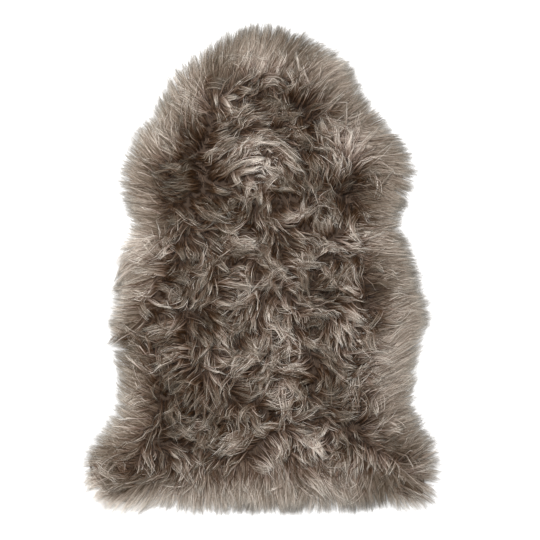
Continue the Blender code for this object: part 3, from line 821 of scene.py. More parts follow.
@dataclass
class Tufts:
    """The tufts that the wool has gathered into: the ones that show, and smaller ones between them.

    A range is a lowest and a highest value, and a spread is a mean and how far it varies.
    """

    pelt: Pelt
    seed: int = 11
    steps: int = 9
    pull: float = 0.012  # how far past its width a tuft draws in the pile
    foot: float = 0.006  # how far past its fullness a tuft raises the wool
    fullness: float = 0.75
    body: tuple[float, float, float] = (0.1, 0.9, 0.8)  # start, length and power of a tuft's arch
    rise_range: tuple[float, float] = (0.5, 1.0)
    fill_area: tuple[float, float] = (0.35, 0.48)
    fill_pitch: float = 0.034
    fill_depth: float = 0.055
    fill_clear: float = 0.021
    fill_turn: float = math.radians(45)
    fill_bend: float = math.radians(60)
    fill_reach_range: tuple[float, float] = (0.042, 0.062)
    fill_width_range: tuple[float, float] = (0.011, 0.018)
    fill_tone_spread: tuple[float, float] = (0.05, 0.16)
    fill_behind: float = 0.4  # the share of a small tuft that lies behind its spot
    flow_radius: float = 0.04
    routes: Array = field(init=False)
    bends: Array = field(init=False)
    widths: Array = field(init=False)
    tones: Array = field(init=False)
    rises: Array = field(init=False)

    def __post_init__(self) -> None:
        """Lays out the tufts of the table, and fills the gaps between them."""
        random = np.random.default_rng(self.seed)
        rows = np.array([row for part in TUFTS.values() for row in part], dtype=float)
        root, tip = flat(rows[:, :2]) * MM, flat(rows[:, 2:4]) * MM
        bend = np.radians(rows[:, 4])
        routes = self.between(root, tip, bend)
        free = spots(self.fill_area, self.fill_pitch, random)
        count = len(free)
        turned = random.normal(0.0, self.fill_turn, count)
        reach = random.uniform(*self.fill_reach_range, count)
        fill_bend = random.normal(0.0, self.fill_bend, count)
        width = random.uniform(*self.fill_width_range, count)
        tone = random.normal(*self.fill_tone_spread, count)
        apart = np.abs(free[:, None, None] - routes[None]).min(axis=(1, 2))
        chosen = (self.pelt.depth(free) > self.fill_depth) & (apart > self.fill_clear)
        facts = (free, turned, reach, fill_bend, width, tone)
        free, turned, reach, fill_bend, width, tone = (fact[chosen] for fact in facts)
        near = np.abs(free[:, None] - routes[:, self.steps // 2][None])
        flow = np.exp(-(near**2) / (2 * self.flow_radius**2)) @ (routes[:, -1] - routes[:, 0])
        ahead = flow / np.abs(flow) * np.exp(1j * turned) * reach
        root, tip = free - ahead * self.fill_behind, free + ahead * (1 - self.fill_behind)
        self.routes = np.concatenate([routes, self.between(root, tip, fill_bend)])
        self.bends = np.concatenate([bend, fill_bend])
        self.widths = np.concatenate([rows[:, 5] * MM, width])
        self.tones = np.concatenate([rows[:, 6], tone])
        self.rises = random.uniform(*self.rise_range, len(self.routes))

    def between(self, root: Array, tip: Array, bend: Array) -> Array:
        """Draws each tuft's line from its root to its tip.

        Args:
            root: The complex places of the roots.
            tip: The complex places of the tips.
            bend: How far each tuft turns on the way.

        Returns:
            Complex places, a row for each tuft.
        """
        line = arc(bend, self.steps)
        return root[:, None] + (tip - root)[:, None] * line / line[:, -1:]

    def nearest(self, places: Array) -> tuple[Array, Array]:
        """Finds the tuft that each place belongs to, and how far along it.

        Args:
            places: Complex places.

        Returns:
            The number of the tuft and of the point on it.
        """
        steps = self.steps - 2
        line = self.routes[:, :steps].ravel()
        size = np.repeat(self.pull + self.widths, steps)
        distance = np.abs(places[:, None] - line[None]) / size[None]
        found = distance.argmin(axis=1)
        return found // steps, found % steps

    def swell(self, places: Array) -> Array:
        """Gives how far the tufts stand over the even wool, from 0 to 1.

        Args:
            places: Complex places, of any shape.

        Returns:
            The swell at each place.
        """
        line = self.routes[:, 1:].ravel()
        size = np.repeat(self.foot + self.fullness * self.widths, self.steps - 1)
        share = np.linspace(0.0, 1.0, self.steps)[1:]
        start, length, power = self.body
        body = np.sin(np.pi * share**power * length + start)
        rise = (self.rises[:, None] * body[None]).ravel()
        found = np.empty(places.size)
        for part, column in portions(places):
            away = np.abs(column - line[None]) / size[None]
            found[part] = (np.clip(1 - away**2, 0.0, 1.0) * rise[None]).max(axis=1)
        return found.reshape(places.shape)


@dataclass
class Lay:
    """The surface that the wool lies to: a low dome with mounds, tufts and partings."""

    pelt: Pelt
    tufts: Tufts
    edge: float = 0.003
    crown: float = 0.040
    shoulder: float = 0.110
    tuft_rise: float = 0.010
    smoothing: float = 1.5  # the power by which the unevenness dies out towards the rim

    def height(self, places: Array) -> Array:
        """Gives the height over the floor of the wool that lies at places.

        Args:
            places: Complex places, of any shape.

        Returns:
            The heights, in metres.
        """
        share = np.clip(self.pelt.depth(places) / self.shoulder, 0.0, 1.0)
        dome = self.edge + (self.crown - self.edge) * np.sin(share * math.pi / 2)
        uneven = self.tuft_rise * self.tufts.swell(places) + self.mounds(places)[0] * MM
        return dome + uneven * share**self.smoothing

    @staticmethod
    def mounds(places: Array) -> tuple[Array, Array]:
        """Gives the rise of the mounds and partings, in mm, and their tone, which is painted light
        and shade.

        Args:
            places: Complex places, of any shape.

        Returns:
            The rise and the painted light and shade, as a tone, at each place.
        """
        rise, tone = np.zeros(places.shape), np.zeros(places.shape)
        # Each mound's tone is painted light and shade: paler on mounds, darker in hollows and
        # partings.
        for _, x, y, radius, high, pale in MOUNDS:
            fade = np.exp(-((np.abs(places - complex(x, y) * MM) / (radius * MM)) ** 2))
            rise, tone = rise + high * fade, tone + pale * fade
        return rise, tone


@dataclass
class Slab:
    """A low closed body over the pelt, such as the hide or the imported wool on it."""

    pelt: Pelt
    name: str
    inset: float
    foot: float
    across: int
    along: int
    spread_steps: int
    sharp_angle: float = math.radians(60)

    def build(
        self, height: Callable[[Array], Array], finish: bpy.types.Material
    ) -> bpy.types.Object:
        """Builds the body as one closed mesh: its top, its low walls and its flat underside.

        Args:
            height: Gives the top's height at complex places.
            finish: The body's material.

        Returns:
            The body.
        """
        net = self.pelt.patch(self.inset, self.across, self.along, self.spread_steps)
        spot, number = net.ravel(), np.arange(net.size).reshape(net.shape)
        upper = np.column_stack([spot.real, spot.imag, height(spot)])
        sides = (number[:-1, 0], number[-1, :-1], number[:0:-1, -1], number[0, :0:-1])
        rim = np.concatenate(sides)
        lower = upper[rim] * (1.0, 1.0, 0.0) + (0.0, 0.0, self.foot)
        foot = net.size + np.arange(len(rim))
        cells = (number[:-1, :-1], number[1:, :-1], number[1:, 1:], number[:-1, 1:])
        top = np.stack(cells, axis=-1).reshape(-1, 4)
        walls = np.column_stack([foot, np.roll(foot, -1), np.roll(rim, -1), rim])
        faces = [*top.tolist(), *walls.tolist(), foot[::-1].tolist()]
        made = mesh_object(self.name, np.concatenate([upper, lower]), faces)
        made.data.materials.append(finish)
        made.data.shade_smooth()
        made.data.set_sharp_from_angle(angle=self.sharp_angle)
        return made


@dataclass(frozen=True)
class Wander:
    """A fact that differs from lock to lock, partly along with that of its neighbours."""

    shared: float
    pitch: float
    own: float
    mean: float = 0.0

    def draw(self, roots: Array, random: np.random.Generator) -> Array:
        """Draws the fact for each root, first what neighbours share and then the lock's own."""
        shared = self.mean + self.shared * drift(roots, self.pitch, random)
        return shared + random.normal(0.0, self.own, len(roots))


@dataclass(frozen=True)
class Growth:
    """How a lock's strands grow.

    They stand apart by the spread at the root, and the gather is the share of it that they have
    drawn together by at the tip. Loose is how far they differ in length, and contrast in tone. The
    start is how far along the strand's colours a lock begins, from root to tip.
    """

    strands: int
    thickness: float
    spread: float
    gather: float
    frizz: float
    loose: float
    start: float
    contrast: float


@dataclass
class Locks:
    """A layer of locks, each drawn as the line that its strands follow."""

    route: Array
    height: Array
    tone: Array
    growth: Growth

    def triangles(self) -> int:
        """Gives the triangles that a lock takes, as pointed tubes of three sides."""
        return self.growth.strands * (6 * (self.route.shape[1] - 1) - 2)


@dataclass
class Layer:
    """What every layer of locks is laid on."""

    pelt: Pelt
    tufts: Tufts
    lay: Lay
    area: tuple[float, float] = (0.36, 0.49)
    rim_margin: float = 0.034
    rim_range: tuple[float, float] = (0.058, 0.090)
    # How strongly the broad patches' painted light and shade are laid on.
    painted_patch_gain: float = 1.3

    def limit(self, places: Array) -> tuple[Array, Array]:
        """Gives how far inside the outline places lie, and where the combed rim ends there.

        Args:
            places: Complex places, of any shape.

        Returns:
            The depth of each place, and the depth at which the pile begins.
        """
        nearest, depth = self.pelt.find(places)
        return depth, np.clip(self.pelt.bands[nearest] + self.rim_margin, *self.rim_range)

    def shade(self, route: Array) -> Array:
        """Gives the painted light and shade of the broad patches and of the rim's band at places.
        """
        return self.painted_patch_gain * self.lay.mounds(route)[1] + self.pelt.pale(route)


@dataclass
class Rim(Layer):
    """The long straight locks that are combed out over the rim."""

    pitch: float = 0.0089
    steps: int = 4
    root_depth: float = 0.034
    overlap: float = 0.018
    lean: Wander = Wander(shared=0.12, pitch=0.030, own=0.07)
    over: Wander = Wander(shared=0.0015, pitch=0.030, own=0.003, mean=0.010)
    turn: Wander = Wander(shared=0.35, pitch=0.040, own=0.12)
    sway: Wander = Wander(shared=0.28, pitch=0.035, own=0.10)
    rise_range: tuple[float, float] = (0.002, 0.007)
    arch: float = 0.7  # the power that puts a lock's highest point before its middle
    tone_spread: tuple[float, float] = (0.15, 0.12)
    longest_reach: float = 0.100
    longest: float = 0.115
    stretch_range: tuple[float, float] = (0.75, 1.6)
    stretch_passes: int = 3
    growth: Growth = Growth(
        strands=8,
        thickness=0.0011,
        spread=0.0052,
        gather=0.06,
        frizz=0.0030,
        loose=0.13,
        start=0.30,
        contrast=0.75,
    )

    def locks(self, random: np.random.Generator) -> Locks:
        """Lays the layer, with each lock as long as it takes to pass the outline a little.

        Args:
            random: The source of the unevenness.

        Returns:
            The layer.
        """
        roots = spots(self.area, self.pitch, random)
        count = len(roots)
        facts = [fact.draw(roots, random) for fact in (self.lean, self.over, self.turn, self.sway)]
        facts.append(random.uniform(*self.rise_range, count))
        facts.append(random.normal(*self.tone_spread, count))
        depth, limit = self.limit(roots)
        inside = (depth > self.root_depth) & (depth < limit + self.overlap)
        roots, depth = roots[inside], depth[inside]
        lean, over, turn, sway, rise, fleck = (fact[inside] for fact in facts)
        way = self.pelt.comb(roots) * np.exp(1j * lean)
        line = way[:, None] * arc(turn, self.steps, sway)
        reach = np.minimum(depth + over, self.longest_reach)
        shortest, longest = (stretch * reach for stretch in self.stretch_range)
        length = reach
        for _ in range(self.stretch_passes):
            gone = depth - self.pelt.depth(roots + length * line[:, -1])
            length = np.clip(length * reach / gone, shortest, np.minimum(longest, self.longest))
        route = roots[:, None] + length[:, None] * line
        share = np.linspace(0.0, 1.0, self.steps)
        tone = self.shade(route) + fleck[:, None]
        height = self.lay.height(route) + rise[:, None] * np.sin(np.pi * share**self.arch)
        return Locks(route, height, tone, self.growth)


@dataclass
class Pile(Layer):
    """The pile inside the rim, each lock of which lies with the tuft that it belongs to."""

    pitch: float = 0.0109
    steps: int = 5
    overlap: float = 0.006
    lean: Wander = Wander(shared=0.45, pitch=0.026, own=0.12)
    curl: Wander = Wander(shared=0.75, pitch=0.028, own=0.20)
    sway: Wander = Wander(shared=0.50, pitch=0.028, own=0.20)
    fleck: Wander = Wander(shared=0.13, pitch=0.016, own=0.14)
    length_spread: tuple[float, float] = (0.045, 0.006)
    rise_range: tuple[float, float] = (0.003, 0.011)
    arch: float = 0.6
    arch_share: float = 0.75  # of a whole arch, which a lock doesn't finish
    comb_fade: float = 0.036  # how far past the rim's end the pile still lies its way
    comb_power: float = 1.5
    comb_weight: float = 1.3
    comb_length: float = 0.03
    # The pile is drawn paler where it is combed near the rim: painted light, like the rim's band.
    painted_comb_light: float = 0.40
    drawn_in: float = 0.35  # how far a lock's tip is drawn to the middle of its tuft
    tuft_tone: float = 0.35
    ground_tone: float = 0.20
    growth: Growth = Growth(
        strands=7,
        thickness=0.0015,
        spread=0.0052,
        gather=0.72,
        frizz=0.0055,
        loose=0.18,
        start=0.0,
        contrast=1.4,
    )

    def locks(self, random: np.random.Generator) -> Locks:
        """Lays the layer.

        Args:
            random: The source of the unevenness.

        Returns:
            The layer.
        """
        roots = spots(self.area, self.pitch, random)
        count = len(roots)
        facts = [roots, *(fact.draw(roots, random) for fact in (self.lean, self.curl, self.sway))]
        facts.append(random.normal(*self.length_spread, count))
        facts.append(random.uniform(*self.rise_range, count))
        facts.append(self.fleck.draw(roots, random))
        depth, limit = self.limit(roots)
        inside = depth > limit - self.overlap
        depth, limit = depth[inside], limit[inside]
        roots, lean, curl, sway, length, rise, fleck = (fact[inside] for fact in facts)
        comb = np.clip((limit + self.comb_fade - depth) / self.comb_fade, 0.0, 1.0)
        comb = comb**self.comb_power
        owner, step = self.tufts.nearest(roots)
        route = self.tufts.routes[owner]
        rows = np.arange(len(roots))
        ahead = route[rows, step + 1] - route[rows, step]
        ahead = ahead / np.abs(ahead)
        way = ahead * (1 - comb) + self.pelt.comb(roots) * comb * self.comb_weight
        way = way / np.abs(way) * np.exp(1j * lean)
        turn = self.tufts.bends[owner] * (1 - step / self.tufts.steps) * (1 - comb)
        reach = length + self.comb_length * comb
        line = arc(turn + curl, self.steps, sway)
        drawn = (route[rows, step] - roots) * self.drawn_in * (1 - comb)
        share = np.linspace(0.0, 1.0, self.steps)
        route = roots[:, None] + (way * reach)[:, None] * line + drawn[:, None] * share
        tone = self.tufts.tones[owner] * self.tuft_tone * (1 - comb)
        # Paler where combed: painted light.
        tone = tone - self.ground_tone + self.painted_comb_light * comb + fleck
        tone = tone[:, None] + self.shade(route)
        arch = np.sin(np.pi * self.arch_share * share**self.arch)
        height = self.lay.height(route) + rise[:, None] * arch
        return Locks(route, height, tone, self.growth)


@dataclass
class Crests(Layer):
    """The tufts' own locks, laid over the pile and drawn together towards each tuft's tip."""

    steps: int = 6
    spacing: float = 0.0019
    fewest: int = 3
    side_spread: float = 1.25  # of the roots over the tuft's width
    side_play: float = 0.10
    back_play: float = 0.6
    bend_play: float = 0.12
    sway: float = 0.12
    size_range: tuple[float, float] = (0.85, 1.08)
    turn_play: float = 0.04
    narrowing: float = 0.65  # of the tuft from its root to its tip
    least_lift: float = 0.005
    tuft_lift: float = 0.007
    lift_power: float = 2.2  # the power by which a lock's rise levels off
    tip_drop: float = 0.25
    lift_play: float = 0.001
    tuft_tone: float = 0.6
    tone_spread: tuple[float, float] = (-0.1, 0.15)
    growth: Growth = Growth(
        strands=5,
        thickness=0.0012,
        spread=0.0028,
        gather=0.55,
        frizz=0.0034,
        loose=0.15,
        start=0.12,
        contrast=1.3,
    )

    def locks(self, random: np.random.Generator) -> Locks:
        """Lays the layer.

        Args:
            random: The source of the unevenness.

        Returns:
            The layer.
        """
        counts = np.round(self.tufts.widths / self.spacing).astype(int)
        counts = np.maximum(counts, self.fewest)
        owner = np.repeat(np.arange(len(counts)), counts)
        first = np.repeat(np.cumsum(counts) - counts, counts)
        total = len(owner)
        place = (np.arange(total) - first + 0.5) / counts[owner] - 0.5
        whole = self.tufts.routes[owner]
        root, tip = whole[:, 0], whole[:, -1]
        chord = (tip - root) / np.abs(tip - root)
        across = place * self.side_spread + random.normal(0.0, self.side_play, total)
        back = random.uniform(-0.5, 0.5, total) * self.back_play
        offset = chord * (1j * across + back) * self.tufts.widths[owner]
        turn = self.tufts.bends[owner] + random.normal(0.0, self.bend_play, total)
        line = arc(turn, self.steps, random.normal(0.0, self.sway, total))
        size = random.uniform(*self.size_range, total)
        size = size * np.exp(1j * random.normal(0.0, self.turn_play, total))
        share = np.linspace(0.0, 1.0, self.steps)
        route = root[:, None] + ((tip - root) * size)[:, None] * line / line[:, -1:]
        route = route + offset[:, None] * (1 - self.narrowing * share)
        lift = (self.least_lift + self.tuft_lift * self.tufts.rises[owner])[:, None]
        lift = lift * (1 - (1 - share) ** self.lift_power) * (1 - self.tip_drop * share**3)
        lift = lift + random.uniform(-self.lift_play, self.lift_play, (total, 1))
        tone = self.tufts.tones[owner] * self.tuft_tone + random.normal(*self.tone_spread, total)
        tone = tone[:, None] + self.shade(route)
        height = self.lay.height(route) + lift
        return Locks(route, height, tone, self.growth)


@dataclass
class Groom:
    """Sets out the locks: the combed rim, the pile inside it, and the tufts on top."""

    pelt: Pelt
    tufts: Tufts
    lay: Lay
    seed: int = 5
    beyond: float = 9.0  # further out than any root
    layers: list[Locks] = field(init=False)

    def __post_init__(self) -> None:
        """Lays the layers, from the lowest to the highest."""
        random = np.random.default_rng(self.seed)
        ground = (self.pelt, self.tufts, self.lay)
        self.layers = [layer(*ground).locks(random) for layer in (Rim, Pile, Crests)]

    def guides(self) -> dict[Region, bpy.types.Object]:
        """Draws the layers as lines, in one object for each region, of about equal weight.

        Returns:
            The lines of each region.
        """
        weight = np.concatenate([np.full(len(one.route), one.triangles()) for one in self.layers])
        south = np.concatenate([layer.route[:, 0].imag for layer in self.layers])
        order = np.argsort(south)
        share = np.cumsum(weight[order]) / weight.sum()
        cuts = np.arange(1, len(Region)) / len(Region)
        levels = south[order][np.searchsorted(share, cuts)]
        bounds = zip([-self.beyond, *levels], [*levels, self.beyond])
        return {region: self.lines(region, *bound) for region, bound in zip(Region, bounds)}

    def lines(self, region: Region, low: float, high: float) -> bpy.types.Object:
        """Draws the locks that are rooted between two levels.

        Args:
            region: The region, which names the object.
            low: The lowest y of a root.
            high: The highest y of a root.

        Returns:
            The object, with each lock's facts on its points.
        """
        facts: dict[str, list[Array]] = defaultdict(list)
        first = 0
        for layer in self.layers:
            south = layer.route[:, 0].imag
            rows = np.nonzero((south >= low) & (south < high))[0]
            steps = layer.route.shape[1]
            route, height = layer.route[rows], layer.height[rows]
            line = np.stack([route.real, route.imag, height], axis=-1)
            numbers = first + np.arange(route.size).reshape(-1, steps)
            first += route.size
            tone, growth = layer.tone[rows].ravel(), layer.growth
            rest = np.ones_like(tone)
            form = [rest * growth.spread, rest * growth.gather, rest * growth.frizz]
            for name, values in {
                "place": line.reshape(-1, 3),
                "edge": np.stack([numbers[:, :-1], numbers[:, 1:]], axis=-1).reshape(-1, 2),
                "root": np.repeat(line[:, 0], steps, axis=0),
                "look": np.column_stack([tone, rest * growth.start, rest * growth.contrast]),
                "form": np.column_stack(form),
                "t": np.tile(np.linspace(0.0, 1.0, steps), len(rows)),
                "thick": rest * growth.thickness,
                "loose": rest * growth.loose,
                "strands": rest * growth.strands,
            }.items():
                facts[name].append(values)
        whole = {name: np.concatenate(values) for name, values in facts.items()}
        places, edges = whole.pop("place"), whole.pop("edge").tolist()
        made = mesh_object(region.value + "_lines", places, [], edges)
        for name, values in whole.items():
            kind, slot = ("FLOAT", "value") if values.ndim == 1 else ("FLOAT_VECTOR", "vector")
            store = made.data.attributes.new(name, kind, "POINT")
            store.data.foreach_set(slot, values.astype(np.float32).ravel())
        return made


class Shears:
    """Turns each lock's line into its strands, by a node tree, and the result into plain meshes.

    A point's facts are t, its share of the way from root to tip; thick, loose, strands, form
    (spread, gather, frizz) and look (tone, start, contrast), from its lock's growth; root, where
    the lock stands; own and side, two random vectors of its strand; and around, its place round
    the strand.
    """

    INPUTS = {
        "Lines": "NodeSocketGeometry",
        "Length": "NodeSocketFloat",
        "Stray": "NodeSocketFloat",
        "Frizz Pitch": "NodeSocketFloat",
        "Low Corner": "NodeSocketVector",
        "High Corner": "NodeSocketVector",
        "Seed": "NodeSocketInt",
        "Wool": "NodeSocketMaterial",
    }
    FACTS = dict.fromkeys(("t", "thick", "loose", "strands", "around"), "FLOAT") | dict.fromkeys(
        ("root", "look", "form", "own", "side"), "FLOAT_VECTOR"
    )
    LENGTH = 0.94  # of the strands, in shares of their lock's line
    STRAY = 0.06
    FRIZZ_PITCH = 0.021
    CORNER = (0.3615, 0.4975)  # past which no strand may lie, to either side
    LEVELS = (0.0012, 0.0780)
    SIDE_SEED = 7.0
    DRAWING = 0.7  # the power by which a lock's strands draw together
    DEPTH = 0.22  # of a lock, in shares of its width
    FRIZZ_PLAY = 0.13  # between two strands of a lock, in pitches
    FRIZZ_GAIN = 5.0  # because noise keeps near its middle
    TAPER = 1.4  # the power by which a strand thins out
    THICKNESS_PLAY = 0.3
    TONE_PLAY = 0.20
    TONE_GAIN = 0.21
    TONE_RANGE = (0.02, 0.96)
    TONE_AROUND = 0.012  # which keeps the map's faces from being flat
    MAP_EDGE = 0.01
    MERGE = 1e-7

    def __init__(self) -> None:
        """Builds the node tree."""
        self.tree = bpy.data.node_groups.new("wool_strands", "GeometryNodeTree")
        for name, kind in self.INPUTS.items():
            self.tree.interface.new_socket(name, in_out="INPUT", socket_type=kind)
        self.tree.interface.new_socket("Strands", in_out="OUTPUT", socket_type="NodeSocketGeometry")
        self.step = partial(add, self.tree)
        self.given = self.step("NodeGroupInput").outputs
        self.facts = {
            name: self.step("GeometryNodeInputNamedAttribute", {"Name": name}, data_type=kind)
            for name, kind in self.FACTS.items()
        }
        self.split = {
            name: self.step("ShaderNodeSeparateXYZ", (self.facts[name],)).outputs
            for name in ("look", "form", "own", "side")
        }
        self.step("NodeGroupOutput", (self.skin(self.bend(self.multiply())),))

    def multiply(self) -> Any:
        """Copies each lock's line for each of its strands, with random facts of its own.

        Returns:
            The strands.
        """
        step, seed = self.step, self.given["Seed"]
        lines = step("GeometryNodeMeshToCurve", (self.given["Lines"],))
        copies = {"Geometry": lines, "Amount": self.facts["strands"]}
        strands = step("GeometryNodeDuplicateElements", copies, domain="SPLINE").outputs["Geometry"]
        other = step(MATH, (seed, self.SIDE_SEED), operation="ADD")
        for name, source in (("own", seed), ("side", other)):
            ends = {"Min": (-1.0, -1.0, -1.0), "Max": (1.0, 1.0, 1.0), "Seed": source}
            drawn = step("FunctionNodeRandomValue", ends, data_type="FLOAT_VECTOR")
            kept = {"Geometry": strands, "Name": name, "Value": drawn}
            strands = step(STORE, kept, data_type="FLOAT_VECTOR", domain="CURVE")
        return strands

    def bend(self, strands: Any) -> Any:
        """Gives each strand its own length, direction and frizz, and its taper.

        Args:
            strands: The strands, each on its lock's line.

        Returns:
            The strands in their places.
        """
        step, given, facts = self.step, self.given, self.facts
        size, lean, high = self.split["own"]
        across, along, level = self.split["side"]
        spread, gather, frizz = self.split["form"]
        here = step("GeometryNodeInputPosition")
        reach = step(VECTORS, (here, facts["root"]), operation="SUBTRACT")
        length = step(MATH, (size, facts["loose"], given["Length"]), operation="MULTIPLY_ADD")
        reach = step(VECTORS, {0: reach, "Scale": length}, operation="SCALE")
        angle = step(MATH, (lean, given["Stray"]), operation="MULTIPLY")
        turned = {"Vector": reach, "Angle": angle}
        reach = step("ShaderNodeVectorRotate", turned, rotation_type="Z_AXIS")
        place = step(VECTORS, (facts["root"], reach), operation="ADD")

        drawn = step(MATH, (facts["t"], self.DRAWING), operation="POWER")
        drawn = step(MATH, (drawn, gather), operation="MULTIPLY")
        wide = step(MATH, (1.0, drawn), operation="SUBTRACT")
        wide = step(MATH, (wide, spread), operation="MULTIPLY")
        upward = step(MATH, (level, self.DEPTH), operation="MULTIPLY")
        offset = step("ShaderNodeCombineXYZ", (across, along, upward))
        offset = step(VECTORS, {0: offset, "Scale": wide}, operation="SCALE")
        place = step(VECTORS, (place, offset), operation="ADD")

        finer = step(MATH, (1.0, given["Frizz Pitch"]), operation="DIVIDE")
        sample = step(VECTORS, {0: place, "Scale": finer}, operation="SCALE")
        play = step(VECTORS, {0: facts["own"], "Scale": self.FRIZZ_PLAY}, operation="SCALE")
        sample = step(VECTORS, (sample, play), operation="ADD")
        noise = step("ShaderNodeTexNoise", {"Vector": sample, "Scale": 1.0, "Detail": 1.0})
        wild = step(VECTORS, (noise.outputs["Color"], (0.5, 0.5, 0.5)), operation="SUBTRACT")
        size = step(MATH, (frizz, self.FRIZZ_GAIN), operation="MULTIPLY")
        size = step(MATH, (size, facts["t"]), operation="MULTIPLY")
        wild = step(VECTORS, {0: wild, "Scale": size}, operation="SCALE")
        wild = step(VECTORS, (wild, (1.0, 1.0, 0.5)), operation="MULTIPLY")
        place = step(VECTORS, (place, wild), operation="ADD")
        place = step(VECTORS, (place, given["Low Corner"]), operation="MAXIMUM")
        place = step(VECTORS, (place, given["High Corner"]), operation="MINIMUM")
        strands = step("GeometryNodeSetPosition", {"Geometry": strands, "Position": place})

        worn = step(MATH, (facts["t"], self.TAPER), operation="POWER")
        taper = step(MATH, (1.0, worn), operation="SUBTRACT")
        radius = step(MATH, (facts["thick"], 0.5), operation="MULTIPLY")
        radius = step(MATH, (radius, taper), operation="MULTIPLY")
        play = step(MATH, (high, self.THICKNESS_PLAY, 1.0), operation="MULTIPLY_ADD")
        radius = step(MATH, (radius, play), operation="MULTIPLY")
        return step("GeometryNodeSetCurveRadius", {"Curve": strands, "Radius": radius})

    def skin(self, strands: Any) -> Any:
        """Gives the strands their surface, the map that colours them, and their material.

        Args:
            strands: The strands, as curves.

        Returns:
            The wool.
        """
        step, t = self.step, self.facts["t"]
        section = step("GeometryNodeCurvePrimitiveCircle", {"Resolution": 3, "Radius": 1.0})
        around = step("GeometryNodeSplineParameter").outputs["Factor"]
        kept = {"Geometry": section, "Name": "around", "Value": around}
        section = step(STORE, kept, data_type="FLOAT", domain="POINT")
        radius = step("GeometryNodeInputRadius")
        tube = {"Curve": strands, "Profile Curve": section, "Scale": radius, "Fill Caps": True}
        skin = step("GeometryNodeCurveToMesh", tube)

        tone, start, contrast = self.split["look"]
        # A strand's tone varies at random by own's z, and with its height in the lock by side's z,
        # so that strands on top are paler and those below darker: painted highlight and shade.
        fine = [
            step(MATH, (part, self.TONE_PLAY), operation="MULTIPLY")
            for part in (self.split["own"][2], self.split["side"][2])
        ]
        fine = step(MATH, fine, operation="ADD")
        fine = step(MATH, (fine, contrast, 0.5), operation="MULTIPLY_ADD")
        shown = step(MATH, (tone, self.TONE_GAIN, fine), operation="MULTIPLY_ADD")
        least, most = self.TONE_RANGE
        shown = step("ShaderNodeClamp", {"Value": shown, "Min": least, "Max": most})
        around = (self.facts["around"], self.TONE_AROUND, shown)
        shown = step(MATH, around, operation="MULTIPLY_ADD")
        rest = step(MATH, (1.0, start), operation="SUBTRACT")
        along = step(MATH, (t, rest, start), operation="MULTIPLY_ADD")
        kept_in = (along, 1 - 2 * self.MAP_EDGE, self.MAP_EDGE)
        along = step(MATH, kept_in, operation="MULTIPLY_ADD")
        spot = step("ShaderNodeCombineXYZ", (shown, along))
        kept = {"Geometry": skin, "Name": "OFBake", "Value": spot}
        skin = step(STORE, kept, data_type="FLOAT2", domain="CORNER")

        skin = step("GeometryNodeMergeByDistance", {"Geometry": skin, "Distance": self.MERGE})
        skin = step("GeometryNodeSetShadeSmooth", {"Geometry": skin})
        skin = step("GeometryNodeRealizeInstances", (skin,))
        dressed = {"Geometry": skin, "Material": self.given["Wool"]}
        return step("GeometryNodeSetMaterial", dressed)

    def grow(
        self, lines: bpy.types.Object, region: Region, finish: bpy.types.Material
    ) -> bpy.types.Object:
        """Grows one region's wool and turns it into a plain mesh.

        Args:
            lines: The region's locks, as lines.
            region: The region, which names the piece.
            finish: The wool's material.

        Returns:
            The region's wool.
        """
        modifier = lines.modifiers.new("wool", "NODES")
        modifier.node_group = self.tree
        sockets = {item.name: item.identifier for item in self.tree.interface.items_tree}
        for name, value in {
            "Length": self.LENGTH,
            "Stray": self.STRAY,
            "Frizz Pitch": self.FRIZZ_PITCH,
            "Low Corner": (-self.CORNER[0], -self.CORNER[1], self.LEVELS[0]),
            "High Corner": (*self.CORNER, self.LEVELS[1]),
            "Seed": list(Region).index(region) + 1,
            "Wool": finish,
        }.items():
            modifier[sockets[name]] = value
        graph = bpy.context.evaluated_depsgraph_get()
        mesh = bpy.data.meshes.new_from_object(lines.evaluated_get(graph))
        bpy.data.objects.remove(lines)
        for name in [held.name for held in mesh.attributes if held.name in self.FACTS]:
            mesh.attributes.remove(mesh.attributes[name])
        made = bpy.data.objects.new(region.value, mesh)
        bpy.context.scene.collection.objects.link(made)
        return made


@dataclass(frozen=True)
class LongWool:
    """Dyed long sheep's wool: fine, slightly waxy fibre. Along each strand it is dark at the root,
    as painted shade where the wool is packed, and pale at the combed tips, as painted light where
    light comes through it."""

    # From root to tip: painted shade at the root, the wool's own taupe between, painted light at
    # the tip.
    root: str = "#2B1A0F"
    lower: str = "#5D4A3C"
    upper: str = "#A19588"
    tip: str = "#DAD4C9"
    lower_end: float = 0.32
    upper_start: float = 0.70
    darkest: float = 0.133
    palest: float = 2.65
    # Dark strands are drawn browner and pale ones greyer; the grey is partly painted highlight, the
    # white light's sheen on the wool.
    brown: float = 1.95
    grey: float = 0.62
    roughness: float = 0.45
    gloss: float = 0.25

    def make(self) -> bpy.types.Material:
        """Makes the material, coloured along each strand by its own map.

        Returns:
            The material.
        """
        made, tree, shader = surface("dyed_long_wool")
        place = add(tree, "ShaderNodeUVMap", uv_map="OFBake")
        tone, along, _ = add(tree, "ShaderNodeSeparateXYZ", (place,)).outputs
        ramp = add(tree, "ShaderNodeValToRGB", (along,))
        stops = ramp.color_ramp.elements
        stops[0].color, stops[1].color = linear(self.root), linear(self.tip)
        for position, colour in ((self.lower_end, self.lower), (self.upper_start, self.upper)):
            stops.new(position).color = linear(colour)
        # The tone carries painted light and shade from the patches, the rim's band and each
        # strand's height in its lock.
        scale = add(tree, MATH, (self.palest / self.darkest, tone), operation="POWER")
        value = add(tree, MATH, (scale, self.darkest), operation="MULTIPLY")
        ends = {"Value": tone, "To Min": self.brown, "To Max": self.grey}
        tint = add(tree, "ShaderNodeMapRange", ends)
        shaded = {"Color": ramp, "Value": value, "Saturation": tint}
        shaded = add(tree, "ShaderNodeHueSaturation", shaded)
        coat = {"Roughness": self.roughness, "Specular IOR Level": self.gloss}
        wire(shader, {"Base Color": shaded} | coat)
        return made


